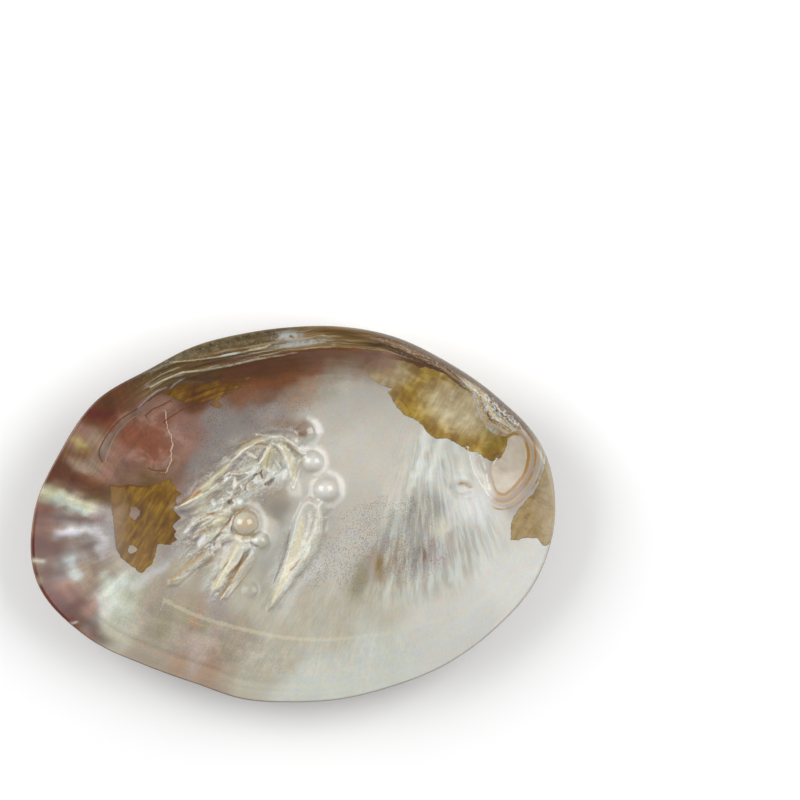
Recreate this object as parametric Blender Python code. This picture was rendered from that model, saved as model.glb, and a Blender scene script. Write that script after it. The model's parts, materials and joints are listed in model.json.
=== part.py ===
"""Left valve of a freshwater pearl mussel, lying on its back with the hollow up.

Its length lies along X with the front end at +X, the hinge side is at +Y, and the hollow faces +Z.
The origin is under the middle of the shell, on the surface that it rests on. Blister pearls, their
tails and a crumpled fold of nacre have grown onto the inside, so the whole valve is one solid.

Run it with: blender --background --python part.py
"""

import math

import bmesh
import bpy
import numpy as np
from mathutils import Vector
from mathutils.geometry import delaunay_2d_cdt

MM = 0.001  # the sizes below are in millimetres, and the mesh is in metres

# The valve as a whole
MARGIN_RADIUS = (  # from the middle to the margin, every 15 degrees, anticlockwise from the front end
    74.6, 73.7, 67.2, 61.8, 58.4, 55.3, 53.3, 53.3, 55.3, 58.1, 64.4, 68.3,
    73.4, 74.9, 68.3, 60.1, 55.3, 54.2, 53.3, 54.2, 56.4, 60.7, 65.8, 71.7,
)
MARGIN_HEIGHT = 19.0  # where the two valves met, above the resting surface
MARGIN_RISE = (0.01, 0.03)  # how that plane climbs per millimetre along X and along Y
FLOOR_HEIGHT = 3.2  # the inside at its deepest, so also the wall there
BOWL_POWER = (2.8, 4.4, 3.4, 2.1, 2.0, 2.2, 2.3, 2.4)  # how late the inside climbs, every 45 degrees
BACK_POWER = (2.3, 2.2, 2.4, 1.7, 1.7, 1.9, 2.0, 2.1)  # the same for the outside
LIP_WIDTH = 0.6
LIP_DROP = 0.7

# The beak, or umbo, which swells out past the hinge line
BEAK_ANGLE = 40.0
BEAK_SPREAD = 30.0
BEAK_REACH = 2.6  # seen from above, how far it stands out past the margin's plane
BEAK_DROP = 6.5  # its widest line lies this far under the margin's plane
BEAK_ROUNDING = 0.45

# The spot on its back that it rests on, under its centre of mass
FOOT_CENTRE = (9.0, 9.0)
FOOT_SHARE = 0.22  # of the way from there to the margin

# Hinge: a plate inside the hinge margin, two long teeth on it, and the short tooth by the beak
PLATE_EDGE = (
    (-57.8, 12.8), (-55.3, 18.1), (-49.6, 26.1), (-42.8, 32.0), (-35.7, 36.9), (-21.8, 41.7),
    (-2.3, 45.7), (12.2, 47.1), (26.1, 45.9), (41.1, 41.1), (51.0, 33.5), (54.2, 25.5), (60.4, 22.4),
)
PLATE_SINK = 1.6  # under the margin's plane
PLATE_SLOPE = 1.5
TEETH = (  # path, half width, height
    (((-40.2, 40.5), (-34.5, 43.1), (-20.4, 46.2), (-4.8, 49.0), (8.0, 50.5)), 1.4, 1.5),
    (((-40.3, 36.3), (-34.6, 39.1), (-21.8, 42.2), (-2.3, 46.2), (10.8, 47.6)), 1.4, 1.9),
    (((54.0, 31.6), (57.3, 26.4), (59.6, 23.4)), 2.2, 2.4),
)

# Muscle scars, pressed into the nacre: centre, half width, half length, turn in degrees, depth
SCARS = (
    ((61.0, 16.6), 6.0, 9.2, -24.0, 1.0),
    ((48.3, 7.2), 2.6, 2.0, 0.0, 0.6),
    ((-43.6, -3.0), 9.0, 12.5, 8.0, 0.5),
)

# What has grown onto the inside. Mounds: centre, half length, half width, turn in degrees, height
MOUNDS = (
    ((-12.5, 12.4), 20.5, 8.2, 33.0, 2.4),  # crumpled fold
    ((-4.6, 19.6), 7.0, 4.0, 20.0, 1.6),  # its peak
    ((-3.4, 5.6), 5.4, 5.2, 0.0, 2.2),  # lobe at its foot
    ((-12.8, -4.9), 7.2, 10.0, -12.0, 2.2),  # swelling that holds the round pearl
)
CREASES = (  # sharp pleats of the fold and the fan: path, half width, height
    (((-4.5, 22.0), (-10.0, 20.9), (-15.1, 17.7), (-25.1, 7.7), (-33.1, 2.0)), 1.5, 1.6),
    (((-8.8, 21.8), (-4.5, 22.3), (-0.8, 20.3), (2.6, 17.5)), 1.4, 1.5),
    (((-4.8, 21.2), (-2.2, 16.6), (-1.1, 12.9), (-1.9, 10.0)), 1.4, 1.2),
    (((-17.7, 10.3), (-22.3, 6.9), (-28.3, 2.9), (-33.2, 1.0)), 1.4, 1.0),
    (((-18.3, 0.8), (-23.2, 0.3), (-27.5, -2.3), (-30.6, -5.2)), 1.4, 1.2),
    (((-18.9, -4.6), (-22.6, -6.0), (-25.8, -8.3), (-28.9, -12.1)), 1.4, 1.0),
)
TAILS = (  # path, half width and height where it starts, half width and height where it ends
    (((7.6, 2.8), (6.4, -4.6), (3.2, -11.7), (-1.4, -19.5), (-6.6, -27.2)), 3.6, 3.8, 1.5, 0.5),
    (((-14.0, -8.0), (-17.5, -13.8), (-20.6, -18.9), (-22.9, -22.6)), 2.2, 2.4, 1.6, 0.6),
    (((-10.6, -10.0), (-14.3, -15.5), (-18.0, -21.2), (-20.3, -24.6)), 1.8, 1.6, 1.4, 0.4),
    (((-24.6, -11.5), (-28.9, -14.6), (-32.9, -17.8), (-36.9, -20.9)), 1.8, 1.4, 1.4, 0.4),
)
PEARLS = (  # centre, radius, height over the floor
    ((4.0, 23.5), 3.8, 2.6),
    ((5.5, 14.6), 3.6, 3.6),
    ((9.5, 6.9), 4.5, 5.4),
    ((-14.0, -2.8), 3.8, 6.6),
    ((-9.7, -7.7), 2.5, 3.8),
    ((-16.3, 2.9), 2.2, 3.4),
    ((-12.3, -21.8), 2.6, 1.0),
)
PEARL_FILLET = 0.9

# The mesh: points on the outline, along every ridge and round every pearl, and staggered rows between
RIM_POINTS = 180
LIP_LINES = (1.0, 0.6, 0.0)  # shares of the lip's width, from the outermost line to its inner edge
RIDGE_STEP = 1.5
RIDGE_GAP = 0.95
RIDGE_SIDES = (0.0, 0.75, -0.75, 1.5, -1.5)  # in half widths of the ridge
PEARL_RINGS = ((0.0, 1), (0.42, 7), (0.78, 12), (1.0, 16), (1.22, 16))  # share of the radius, points
CLOSEST = 0.62  # no two points are nearer to each other than this
GROWTH_ZONE = ((-11.0, 1.0), 31.0, 26.0, 35.0)  # centre, half length, half width, turn
FRONT_ZONE = ((56.0, 19.0), 15.0, 18.0, 0.0)
ROW_SPACING = (1.25, 2.1, 4.4)  # in the growth zone, near the hinge and at the front, and elsewhere
MARGIN_RINGS = ((0.982, 150), (0.955, 126), (0.915, 108))  # on the inside: share of the lip's start, points
BACK_RINGS = ((0.985, 90), (0.95, 90), (0.89, 72), (0.8, 60), (0.68, 48), (0.54, 36), (0.39, 24), (0.2, 18))


def round_the_shell(stations, angle):
    """A smooth closed curve through evenly spaced stations, read at each angle in radians."""
    values = np.asarray(stations, float)
    place = np.mod(angle / (2 * math.pi), 1.0) * len(values)
    first = np.floor(place).astype(int)
    f = place - first
    a, b, c, d = (values[(first + k) % len(values)] for k in (-1, 0, 1, 2))
    return b + 0.5 * f * (c - a + f * (2 * a - 5 * b + 4 * c - d + f * (3 * (b - c) + d - a)))


def margin_plane(x, y):
    return MARGIN_HEIGHT + MARGIN_RISE[0] * x + MARGIN_RISE[1] * y


def beak_share(angle):
    """1 at the beak, fading to 0 away from it."""
    off = (np.degrees(angle) - BEAK_ANGLE + 180.0) % 360.0 - 180.0
    return np.exp(-((off / BEAK_SPREAD) ** 4))


def lip_start(angle):
    """The share of the margin's radius at which the inside ends and the lip begins."""
    width = LIP_WIDTH + BEAK_REACH * beak_share(angle)
    return 1.0 - width / round_the_shell(MARGIN_RADIUS, angle)


def edge_height(x, y, angle):
    """Height of the outermost line."""
    return margin_plane(x, y) - LIP_DROP - BEAK_DROP * beak_share(angle)


def polar(x, y):
    """Share of the way from the middle to the margin, and the angle."""
    angle = np.arctan2(y, x)
    return np.hypot(x, y) / round_the_shell(MARGIN_RADIUS, angle), angle


def along_path(x, y, path):
    """Distance to the nearest point of a path, and how far along the path it lies, from 0 to 1."""
    points = np.asarray(path, float)
    steps = np.linalg.norm(np.diff(points, axis=0), axis=1)
    starts = np.concatenate([[0.0], np.cumsum(steps)])
    nearest = np.full(x.shape, np.inf)
    share = np.zeros(x.shape)
    for (ax, ay), (bx, by), step, start in zip(points, points[1:], steps, starts):
        f = np.clip(((x - ax) * (bx - ax) + (y - ay) * (by - ay)) / step**2, 0.0, 1.0)
        distance = np.hypot(x - ax - f * (bx - ax), y - ay - f * (by - ay))
        closer = distance < nearest
        nearest = np.where(closer, distance, nearest)
        share = np.where(closer, (start + f * step) / starts[-1], share)
    return nearest, share


def rounded(distance, half_width):
    """A smooth hump of height 1, gone at about 1.5 half widths."""
    return np.exp(-((distance / half_width) ** 2) * 1.4)


def in_ellipse(x, y, centre, half_length, half_width, turn):
    """0 at the centre of a turned ellipse and 1 on its outline."""
    c, s = math.cos(math.radians(turn)), math.sin(math.radians(turn))
    dx, dy = x - centre[0], y - centre[1]
    return np.hypot((dx * c + dy * s) / half_length, (dy * c - dx * s) / half_width)


def higher_of(a, b, fillet):
    """The higher of two surfaces, with a fillet where they cross."""
    return 0.5 * (a + b + np.sqrt((a - b) ** 2 + fillet**2))


def bowl(x, y):
    """The plain hollow, with nothing grown on it."""
    share, angle = polar(x, y)
    climb = np.clip(share / lip_start(angle), 0.0, 1.0) ** round_the_shell(BOWL_POWER, angle)
    return FLOOR_HEIGHT + (margin_plane(x, y) - FLOOR_HEIGHT) * climb


def hinge(x, y, z):
    """The bowl with the hinge plate and the teeth added."""
    distance, share = along_path(x, y, PLATE_EDGE)
    outline = round_the_shell(MARGIN_RADIUS, np.arctan2(y, x))
    on_plate = np.hypot(x, y) / outline > plate_share(x, y)
    inwards = np.where(on_plate, 0.0, distance)
    fade = np.clip(6.0 * share, 0.0, 1.0) * np.clip(6.0 * (1.0 - share), 0.0, 1.0)
    top = margin_plane(x, y) - PLATE_SINK - PLATE_SLOPE * inwards
    z = z + fade * (higher_of(z, top, 0.6) - z)
    for path, half_width, height in TEETH:
        distance, share = along_path(x, y, path)
        z = z + height * rounded(distance, half_width) * np.sqrt(np.sin(math.pi * np.clip(share, 0.06, 0.94)))
    return z


def plate_share(x, y):
    """At each point's angle, the share of the margin's radius at which the hinge plate's edge lies."""
    edge = np.asarray(PLATE_EDGE, float)
    share, angle = polar(edge[:, 0], edge[:, 1])
    order = np.argsort(angle)
    return np.interp(np.arctan2(y, x), angle[order], share[order], left=1.0, right=1.0)


def inside(x, y):
    """Height of the upper surface inside the lip."""
    plain = bowl(x, y)
    z = hinge(x, y, plain)
    for centre, half_length, half_width, turn, depth in SCARS:
        z = z - depth * np.exp(-(in_ellipse(x, y, centre, half_length, half_width, turn) ** 6))
    for centre, half_length, half_width, turn, height in MOUNDS:
        z = z + height * np.exp(-(in_ellipse(x, y, centre, half_length, half_width, turn) ** 4))
    for path, half_width, height in CREASES:
        distance, _ = along_path(x, y, path)
        z = z + height * rounded(distance, half_width)
    for path, wide, high, narrow, low in TAILS:
        distance, share = along_path(x, y, path)
        z = z + (high + share * (low - high)) * rounded(distance, wide + share * (narrow - wide))
    for centre, radius, height in PEARLS:
        distance = np.hypot(x - centre[0], y - centre[1])
        middle = bowl(np.array(centre[0]), np.array(centre[1])) + height - radius
        ball = middle + np.where(
            distance < radius,
            np.sqrt(np.maximum(radius**2 - distance**2, 0.0)),
            -4.0 * (distance - radius),
        )
        z = higher_of(z, ball, PEARL_FILLET)
    return z


def back(x, y):
    """Height of the outside, which is flat where the shell rests."""
    share, angle = polar(x, y)
    for _ in range(6):
        slide = np.clip(1.0 - share**2, 0.0, 1.0)
        share, angle = polar(x - FOOT_CENTRE[0] * slide, y - FOOT_CENTRE[1] * slide)
    climb = np.clip((share - FOOT_SHARE) / (1.0 - FOOT_SHARE), 0.0, 1.0)
    climb = climb ** round_the_shell(BACK_POWER, angle)
    rounding = 1.0 / (1.0 + BEAK_ROUNDING * beak_share(angle))
    return edge_height(x, y, angle) * (1.0 - (1.0 - climb) ** rounding)


def top(x, y):
    """The upper surface out to the outermost line, with the lip rounded over."""
    share, angle = polar(x, y)
    start = lip_start(angle)
    pull = np.minimum(share, start) / np.maximum(share, 1e-9)
    inner = inside(x * pull, y * pull)
    f = np.clip((share - start) / (1.0 - start), 0.0, 1.0)
    edge = edge_height(x, y, angle)
    return edge + (inner - edge) * np.sqrt(1.0 - f**2)


def ring(share, count):
    """Evenly turned points at one share of the margin's radius."""
    angle = np.arange(count) * 2 * math.pi / count
    radius = round_the_shell(MARGIN_RADIUS, angle) * share
    return np.column_stack([radius * np.cos(angle), radius * np.sin(angle)])


def lip_line(share):
    angle = np.arange(RIM_POINTS) * 2 * math.pi / RIM_POINTS
    start = lip_start(angle)
    return ring(start + (1.0 - start) * share, RIM_POINTS)


def beside_path(path, start_width, end_width):
    """Points along a path and on lines beside it, which follow its half width."""
    points = np.asarray(path, float)
    steps = np.linalg.norm(np.diff(points, axis=0), axis=1)
    along = np.concatenate([[0.0], np.cumsum(steps)])
    reads = np.linspace(0.0, along[-1], max(3, round(along[-1] / RIDGE_STEP)))
    line = np.column_stack([np.interp(reads, along, points[:, axis]) for axis in (0, 1)])
    ahead = np.gradient(line, axis=0)
    sideways = np.column_stack([-ahead[:, 1], ahead[:, 0]]) / np.linalg.norm(ahead, axis=1)[:, None]
    half_width = np.linspace(start_width, end_width, len(line))[:, None]
    return np.concatenate([line + side * half_width * sideways for side in RIDGE_SIDES])


def round_pearl(centre, radius):
    rings = []
    for share, count in PEARL_RINGS:
        angle = np.arange(count) * 2 * math.pi / count
        reach = share * radius
        rings.append(np.column_stack([centre[0] + reach * np.cos(angle), centre[1] + reach * np.sin(angle)]))
    return np.concatenate(rings)


def staggered_rows(spacing):
    """Points of an even triangular pattern over the whole shell."""
    reach = max(MARGIN_RADIUS)
    rows = np.arange(-reach, reach, spacing * math.sqrt(0.75))
    line = np.arange(-reach, reach, spacing)
    return np.array([(x + 0.5 * spacing * (n % 2), y) for n, y in enumerate(rows) for x in line])


def add_apart(points, more, gap):
    """Adds those of the further points that keep a gap to all the others and to the lip."""
    x, y = more[:, 0], more[:, 1]
    share, angle = polar(x, y)
    room = (lip_start(angle) - share) * round_the_shell(MARGIN_RADIUS, angle)
    for point in more[room > 0.8 * gap]:
        if np.min(np.hypot(*(np.array(points) - point).T)) >= gap:
            points.append(point)


def top_points():
    points = [point for share in LIP_LINES for point in lip_line(share)]
    for centre, radius, _ in PEARLS:
        add_apart(points, round_pearl(centre, radius), CLOSEST)
    for path, half_width, _ in TEETH + CREASES:
        add_apart(points, beside_path(path, half_width, half_width), RIDGE_GAP)
    for path, wide, _, narrow, _ in TAILS:
        add_apart(points, beside_path(path, wide, narrow), RIDGE_GAP)
    add_apart(points, beside_path(PLATE_EDGE, PLATE_SINK, PLATE_SINK), RIDGE_GAP)
    for share, count in MARGIN_RINGS:
        angle = np.arange(count) * 2 * math.pi / count
        add_apart(points, ring(lip_start(angle) * share, count), RIDGE_GAP)

    fine, medium, plain = ROW_SPACING
    rows = staggered_rows(fine)
    add_apart(points, rows[in_ellipse(rows[:, 0], rows[:, 1], *GROWTH_ZONE) < 1.0], 0.8 * fine)
    rows = staggered_rows(medium)
    to_plate, _ = along_path(rows[:, 0], rows[:, 1], PLATE_EDGE)
    at_front = in_ellipse(rows[:, 0], rows[:, 1], *FRONT_ZONE) < 1.0
    add_apart(points, rows[(to_plate < 6.0) | at_front], 0.8 * medium)
    add_apart(points, staggered_rows(plain), 0.8 * plain)
    return np.array(points)


def back_points():
    """Rings from the outline inwards, which close in on the middle of the foot."""
    middle = np.array([FOOT_CENTRE])
    rings = [ring(share, count) + middle * (1.0 - share**2) for share, count in BACK_RINGS]
    return np.concatenate([ring(1.0, RIM_POINTS)] + rings + [middle])


def triangles(points):
    """Triangles between the points, inside the outline that the first ones make."""
    outline = [(n, (n + 1) % RIM_POINTS) for n in range(RIM_POINTS)]
    flat = [Vector(point) for point in points]
    _, _, faces, found, _, _ = delaunay_2d_cdt(flat, outline, [], 1, 1e-6)
    return [[found[corner][0] for corner in face] for face in faces]


def add_surface(mesh, points, height, rim, facing_up):
    """One side of the shell, over the outline vertices that both sides share."""
    z = height(points[:, 0], points[:, 1])
    inner = [mesh.verts.new((x * MM, y * MM, h * MM)) for (x, y), h in zip(points, z)][len(rim):]
    corners = rim + inner
    for a, b, c in triangles(points):
        face = (a, b, c) if facing_up else (c, b, a)
        mesh.faces.new([corners[n] for n in face])


def nacre_material():
    material = bpy.data.materials.new("nacre")
    material.use_nodes = True
    shader = material.node_tree.nodes["Principled BSDF"]
    shader.inputs["Base Color"].default_value = (0.62, 0.56, 0.50, 1.0)
    shader.inputs["Roughness"].default_value = 0.28
    shader.inputs["Metallic"].default_value = 0.0
    return material


def build_shell():
    mesh = bmesh.new()
    outline = ring(1.0, RIM_POINTS)
    heights = top(outline[:, 0], outline[:, 1])
    rim = [mesh.verts.new((x * MM, y * MM, z * MM)) for (x, y), z in zip(outline, heights)]
    add_surface(mesh, top_points(), top, rim, True)
    add_surface(mesh, back_points(), back, rim, False)
    bmesh.ops.delete(mesh, geom=[v for v in mesh.verts if not v.link_faces], context="VERTS")
    data = bpy.data.meshes.new("shell")
    mesh.to_mesh(data)
    mesh.free()
    data.shade_smooth()
    data.set_sharp_from_angle(angle=math.radians(45))
    data.materials.append(nacre_material())
    shell = bpy.data.objects.new("shell", data)
    bpy.context.scene.collection.objects.link(shell)
    return shell


def main():
    for old in list(bpy.data.objects):
        bpy.data.objects.remove(old)
    build_shell()


main()
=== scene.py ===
# %% [markdown]
# # A pearl mussel's valve, lying on its back
#
# One half of a big freshwater mussel lies with its hollow up. Inside, the animal has laid smooth nacre
# over a cluster of pearls, so they stand out as blisters with tails, beside a crumpled fold.
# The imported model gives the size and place. This lesson gives the valve its full relief and its finish.

# %% Load the frame
import json
import math
import bpy
import numpy as np
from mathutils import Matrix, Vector

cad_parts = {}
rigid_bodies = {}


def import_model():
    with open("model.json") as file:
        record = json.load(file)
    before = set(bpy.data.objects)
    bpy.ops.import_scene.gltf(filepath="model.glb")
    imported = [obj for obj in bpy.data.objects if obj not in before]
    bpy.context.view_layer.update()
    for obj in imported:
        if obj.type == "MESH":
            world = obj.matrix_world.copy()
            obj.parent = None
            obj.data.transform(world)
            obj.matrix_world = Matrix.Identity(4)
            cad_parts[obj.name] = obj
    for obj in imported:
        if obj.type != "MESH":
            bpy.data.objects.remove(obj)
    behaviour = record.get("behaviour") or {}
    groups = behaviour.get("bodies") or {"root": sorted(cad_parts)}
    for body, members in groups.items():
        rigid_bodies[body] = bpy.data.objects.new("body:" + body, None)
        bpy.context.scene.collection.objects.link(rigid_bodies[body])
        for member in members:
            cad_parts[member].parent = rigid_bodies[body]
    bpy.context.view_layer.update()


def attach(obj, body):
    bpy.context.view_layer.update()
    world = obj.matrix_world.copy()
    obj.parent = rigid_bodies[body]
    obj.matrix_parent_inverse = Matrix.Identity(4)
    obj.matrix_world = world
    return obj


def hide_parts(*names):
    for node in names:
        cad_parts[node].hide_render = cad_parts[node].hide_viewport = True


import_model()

MM = 0.001

# %% [markdown]
# ## The outline
#
# A mussel's margin is an egg shape with small bulges. Two dozen distances from the middle describe it,
# read through a smooth curve. A spline object would do too, but a plain function of the angle can be
# asked at every point of the surface how far it is from the margin, and that share steers everything.

# %% The margin as a function of the angle
MARGIN_RADIUS = (  # every 15 degrees, anticlockwise from the front end at +X, in millimetres
    74.6, 73.7, 67.2, 61.8, 58.4, 55.3, 53.3, 53.3, 55.3, 58.1, 64.4, 68.3,
    73.4, 74.9, 68.3, 60.1, 55.3, 54.2, 53.3, 54.2, 56.4, 60.7, 65.8, 71.7,
)
INSET = 0.04  # keeps the smooth margin inside the solid model's facets


def round_the_shell(stations, angle):
    """A smooth closed curve through evenly spaced stations, read at each angle in radians."""
    values = np.asarray(stations, float)
    place = np.mod(angle / (2 * math.pi), 1.0) * len(values)
    first = np.floor(place).astype(int)
    f = place - first
    a, b, c, d = (values[(first + k) % len(values)] for k in (-1, 0, 1, 2))
    return b + 0.5 * f * (c - a + f * (2 * a - 5 * b + 4 * c - d + f * (3 * (b - c) + d - a)))


def outline_radius(angle):
    return round_the_shell(MARGIN_RADIUS, angle) - INSET


def polar(x, y):
    """Share of the way from the middle to the margin, and the angle."""
    angle = np.arctan2(y, x)
    return np.hypot(x, y) / outline_radius(angle), angle


print("margin, mm:", round(max(MARGIN_RADIUS)), "to", round(min(MARGIN_RADIUS)), "from the middle")

# %% [markdown]
# ## Bowl, lip and beak
#
# Nacre is laid thickest under the hinge, so the inside stays flat there and climbs late and steeply,
# while the open side climbs gently. A power of the share gives that, with its own exponent at each angle.
# The beak is the oldest part. It swells out past the hinge, so the lip there is wide and rounded.

# %% Plain surfaces of the valve
MARGIN_HEIGHT = 19.0
MARGIN_RISE = (0.01, 0.03)
FLOOR_HEIGHT = 3.2
BOWL_POWER = (2.8, 4.4, 3.4, 2.1, 2.0, 2.2, 2.3, 2.4)  # every 45 degrees
BACK_POWER = (2.3, 2.2, 2.4, 1.7, 1.7, 1.9, 2.0, 2.1)
LIP_WIDTH, LIP_DROP = 0.6, 0.7
BEAK_ANGLE, BEAK_SPREAD, BEAK_REACH, BEAK_DROP, BEAK_ROUNDING = 40.0, 30.0, 2.6, 6.5, 0.45
FOOT_CENTRE, FOOT_SHARE = (9.0, 9.0), 0.22


def margin_plane(x, y):
    return MARGIN_HEIGHT + MARGIN_RISE[0] * x + MARGIN_RISE[1] * y


def beak_share(angle):
    """1 at the beak, fading to 0 away from it."""
    off = (np.degrees(angle) - BEAK_ANGLE + 180.0) % 360.0 - 180.0
    return np.exp(-((off / BEAK_SPREAD) ** 4))


def lip_start(angle):
    """The share at which the inside ends and the lip begins."""
    return 1.0 - (LIP_WIDTH + BEAK_REACH * beak_share(angle)) / outline_radius(angle)


def edge_height(x, y, angle):
    """Height of the outermost line."""
    return margin_plane(x, y) - LIP_DROP - BEAK_DROP * beak_share(angle)


def bowl(x, y):
    """The plain hollow, with nothing grown on it."""
    share, angle = polar(x, y)
    climb = np.clip(share / lip_start(angle), 0.0, 1.0) ** round_the_shell(BOWL_POWER, angle)
    return FLOOR_HEIGHT + (margin_plane(x, y) - FLOOR_HEIGHT) * climb


def back(x, y):
    """Height of the outside, which is flat where the shell rests."""
    share, angle = polar(x, y)
    for _ in range(6):
        slide = np.clip(1.0 - share**2, 0.0, 1.0)
        share, angle = polar(x - FOOT_CENTRE[0] * slide, y - FOOT_CENTRE[1] * slide)
    climb = np.clip((share - FOOT_SHARE) / (1.0 - FOOT_SHARE), 0.0, 1.0)
    climb = climb ** round_the_shell(BACK_POWER, angle)
    rounding = 1.0 / (1.0 + BEAK_ROUNDING * beak_share(angle))
    return edge_height(x, y, angle) * (1.0 - (1.0 - climb) ** rounding)


middle = np.zeros(1)
print("wall in the middle, mm:", round(float((bowl(middle, middle) - back(middle, middle))[0]), 1))

# %% [markdown]
# ## Tools for relief
#
# Every ridge, tail, scar and patch is drawn from a short path or outline, and a point's distance to it
# gives the height or the colour. That is how a potter would work: press or add along a line.
# Sculpting by hand would do it too, but distances can be changed later by moving one number.

# %% Distances to paths and outlines


def along_path(x, y, path, closed=False):
    """Distance to the nearest point of a path, how far along it lies from 0 to 1, and the side."""
    points = np.asarray(path + path[:1] if closed else path, float)
    steps = np.linalg.norm(np.diff(points, axis=0), axis=1)
    starts = np.concatenate([[0.0], np.cumsum(steps)])
    nearest = np.full(x.shape, np.inf)
    share = np.zeros(x.shape)
    side = np.ones(x.shape)
    for (ax, ay), (bx, by), step, start in zip(points, points[1:], steps, starts):
        free = ((x - ax) * (bx - ax) + (y - ay) * (by - ay)) / step**2
        f = np.clip(free, 0.0, 1.0)
        distance = np.hypot(x - ax - f * (bx - ax), y - ay - f * (by - ay))
        closer = distance < nearest
        nearest = np.where(closer, distance, nearest)
        share = np.where(closer, (start + f * step) / starts[-1], share)
        turn = np.sign((bx - ax) * (y - ay) - (by - ay) * (x - ax))
        side = np.where(closer, turn, side)
    return nearest, share, side


def line_distance(x, y, path):
    """Distance to a path with the side as its sign, but without a sign past the path's ends."""
    distance, share, side = along_path(x, y, path)
    return np.where((share > 0.001) & (share < 0.999), distance * side, distance)


def inside_outline(x, y, outline):
    """Distance to an outline, positive inside it."""
    distance, _, _ = along_path(x, y, outline, closed=True)
    odd = np.zeros(x.shape, bool)
    for (ax, ay), (bx, by) in zip(outline, outline[1:] + outline[:1]):
        if ay != by:
            odd ^= ((ay > y) != (by > y)) & (x < (bx - ax) * (y - ay) / (by - ay) + ax)
    return np.where(odd, distance, -distance)


square = ((-4.0, -4.0), (4.0, -4.0), (4.0, 4.0), (-4.0, 4.0))
print("the middle of a square lies", inside_outline(middle, middle, square)[0], "mm inside it")

# %% Smooth paths, ellipses, humps and fillets


def smoothed(path, closed=False):
    """The path with its corners cut twice."""
    points = np.asarray(path + path[:1] if closed else path, float)
    for _ in range(2):
        early, late = 0.75 * points[:-1] + 0.25 * points[1:], 0.25 * points[:-1] + 0.75 * points[1:]
        cut = np.stack([early, late], axis=1).reshape(-1, 2)
        points = np.concatenate([cut, cut[:1]]) if closed else np.concatenate([points[:1], cut, points[-1:]])
    return [tuple(point) for point in (points[:-1] if closed else points)]


def in_ellipse(x, y, centre, half_length, half_width, turn):
    """0 at the centre of a turned ellipse and 1 on its outline."""
    c, s = math.cos(math.radians(turn)), math.sin(math.radians(turn))
    dx, dy = x - centre[0], y - centre[1]
    return np.hypot((dx * c + dy * s) / half_length, (dy * c - dx * s) / half_width)


def rounded(distance, half_width):
    """A smooth hump of height 1, gone at about 1.5 half widths."""
    return np.exp(-((distance / half_width) ** 2) * 1.4)


def higher_of(a, b, fillet):
    """The higher of two surfaces, with a fillet where they cross."""
    return 0.5 * (a + b + np.sqrt((a - b) ** 2 + fillet**2))


print("where two surfaces cross, a fillet of 1 mm adds", higher_of(0.0, 0.0, 1.0), "mm")

# %% Random hills and screen colours


def wander(x, y, cell, seed):
    """Smooth random hills from -1 to 1, about one to a cell."""
    size = 128
    table = np.random.default_rng(seed).uniform(-1.0, 1.0, (size, size))
    u, v = x / cell + 0.37 * seed, y / cell + 0.71 * seed
    i, j = np.floor(u).astype(int), np.floor(v).astype(int)
    f, g = u - i, v - j
    f, g = f * f * (3 - 2 * f), g * g * (3 - 2 * g)
    low = table[i % size, j % size] * (1 - f) + table[(i + 1) % size, j % size] * f
    high = table[i % size, (j + 1) % size] * (1 - f) + table[(i + 1) % size, (j + 1) % size] * f
    return low * (1 - g) + high * g


def paint(red, green, blue):
    """A colour as seen on a screen, 0 to 255, turned into the light that it sends back."""
    share = [channel / 255 for channel in (red, green, blue)]
    return tuple(c / 12.92 if c <= 0.04045 else ((c + 0.055) / 1.055) ** 2.4 for c in share)


print("a hill and a hollow:", [round(float(wander(middle + at, middle, 5.0, 3)[0]), 2) for at in (0, 9)])

# %% [markdown]
# ## Hinge
#
# Two long ridges, the lateral teeth, run along the hinge plate and lock into the other valve. Near the
# beak a short tooth does the same. The plate is a shelf, so it is the higher of the bowl and a slope.

# %% Hinge plate and teeth
PLATE_EDGE = (
    (-57.8, 12.8), (-55.3, 18.1), (-49.6, 26.1), (-42.8, 32.0), (-35.7, 36.9), (-21.8, 41.7), (-2.3, 45.7),
    (12.2, 47.1), (26.1, 45.9), (41.1, 41.1), (51.0, 33.5), (54.2, 25.5), (60.4, 22.4),
)
PLATE_SINK = 1.6
PLATE_SLOPE = 1.5
PLATE_FILLET = 0.6
PLATE_ENDS = 1 / 6  # share of the plate's length over which it fades at each end
TEETH = (  # path, half width, height
    (((-40.2, 40.5), (-34.5, 43.1), (-20.4, 46.2), (-4.8, 49.0), (8.0, 50.5)), 1.4, 1.5),
    (((-40.3, 36.3), (-34.6, 39.1), (-21.8, 42.2), (-2.3, 46.2), (10.8, 47.6)), 1.4, 1.9),
    (((54.0, 31.6), (57.3, 26.4), (59.6, 23.4)), 2.2, 1.9),
)


def plate_share(angle):
    """At each angle, the share at which the hinge plate's edge lies."""
    edge = np.asarray(PLATE_EDGE, float)
    share, turn = polar(edge[:, 0], edge[:, 1])
    order = np.argsort(turn)
    return np.interp(angle, turn[order], share[order], left=1.0, right=1.0)


def hinge(x, y, z):
    """The bowl with the hinge plate and the teeth added."""
    distance, along, _ = along_path(x, y, PLATE_EDGE)
    share, angle = polar(x, y)
    inwards = np.where(share > plate_share(angle), 0.0, distance)
    fade = np.clip(along / PLATE_ENDS, 0.0, 1.0) * np.clip((1.0 - along) / PLATE_ENDS, 0.0, 1.0)
    top_of_plate = margin_plane(x, y) - PLATE_SINK - PLATE_SLOPE * inwards
    z = z + fade * (higher_of(z, top_of_plate, PLATE_FILLET) - z)
    for path, half_width, height in TEETH:
        distance, along, _ = along_path(x, y, path)
        taper = np.sqrt(np.sin(math.pi * np.clip(along, 0.06, 0.94)))
        z = z + height * rounded(distance, half_width) * taper
    return z


print("hinge teeth:", len(TEETH))

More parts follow.
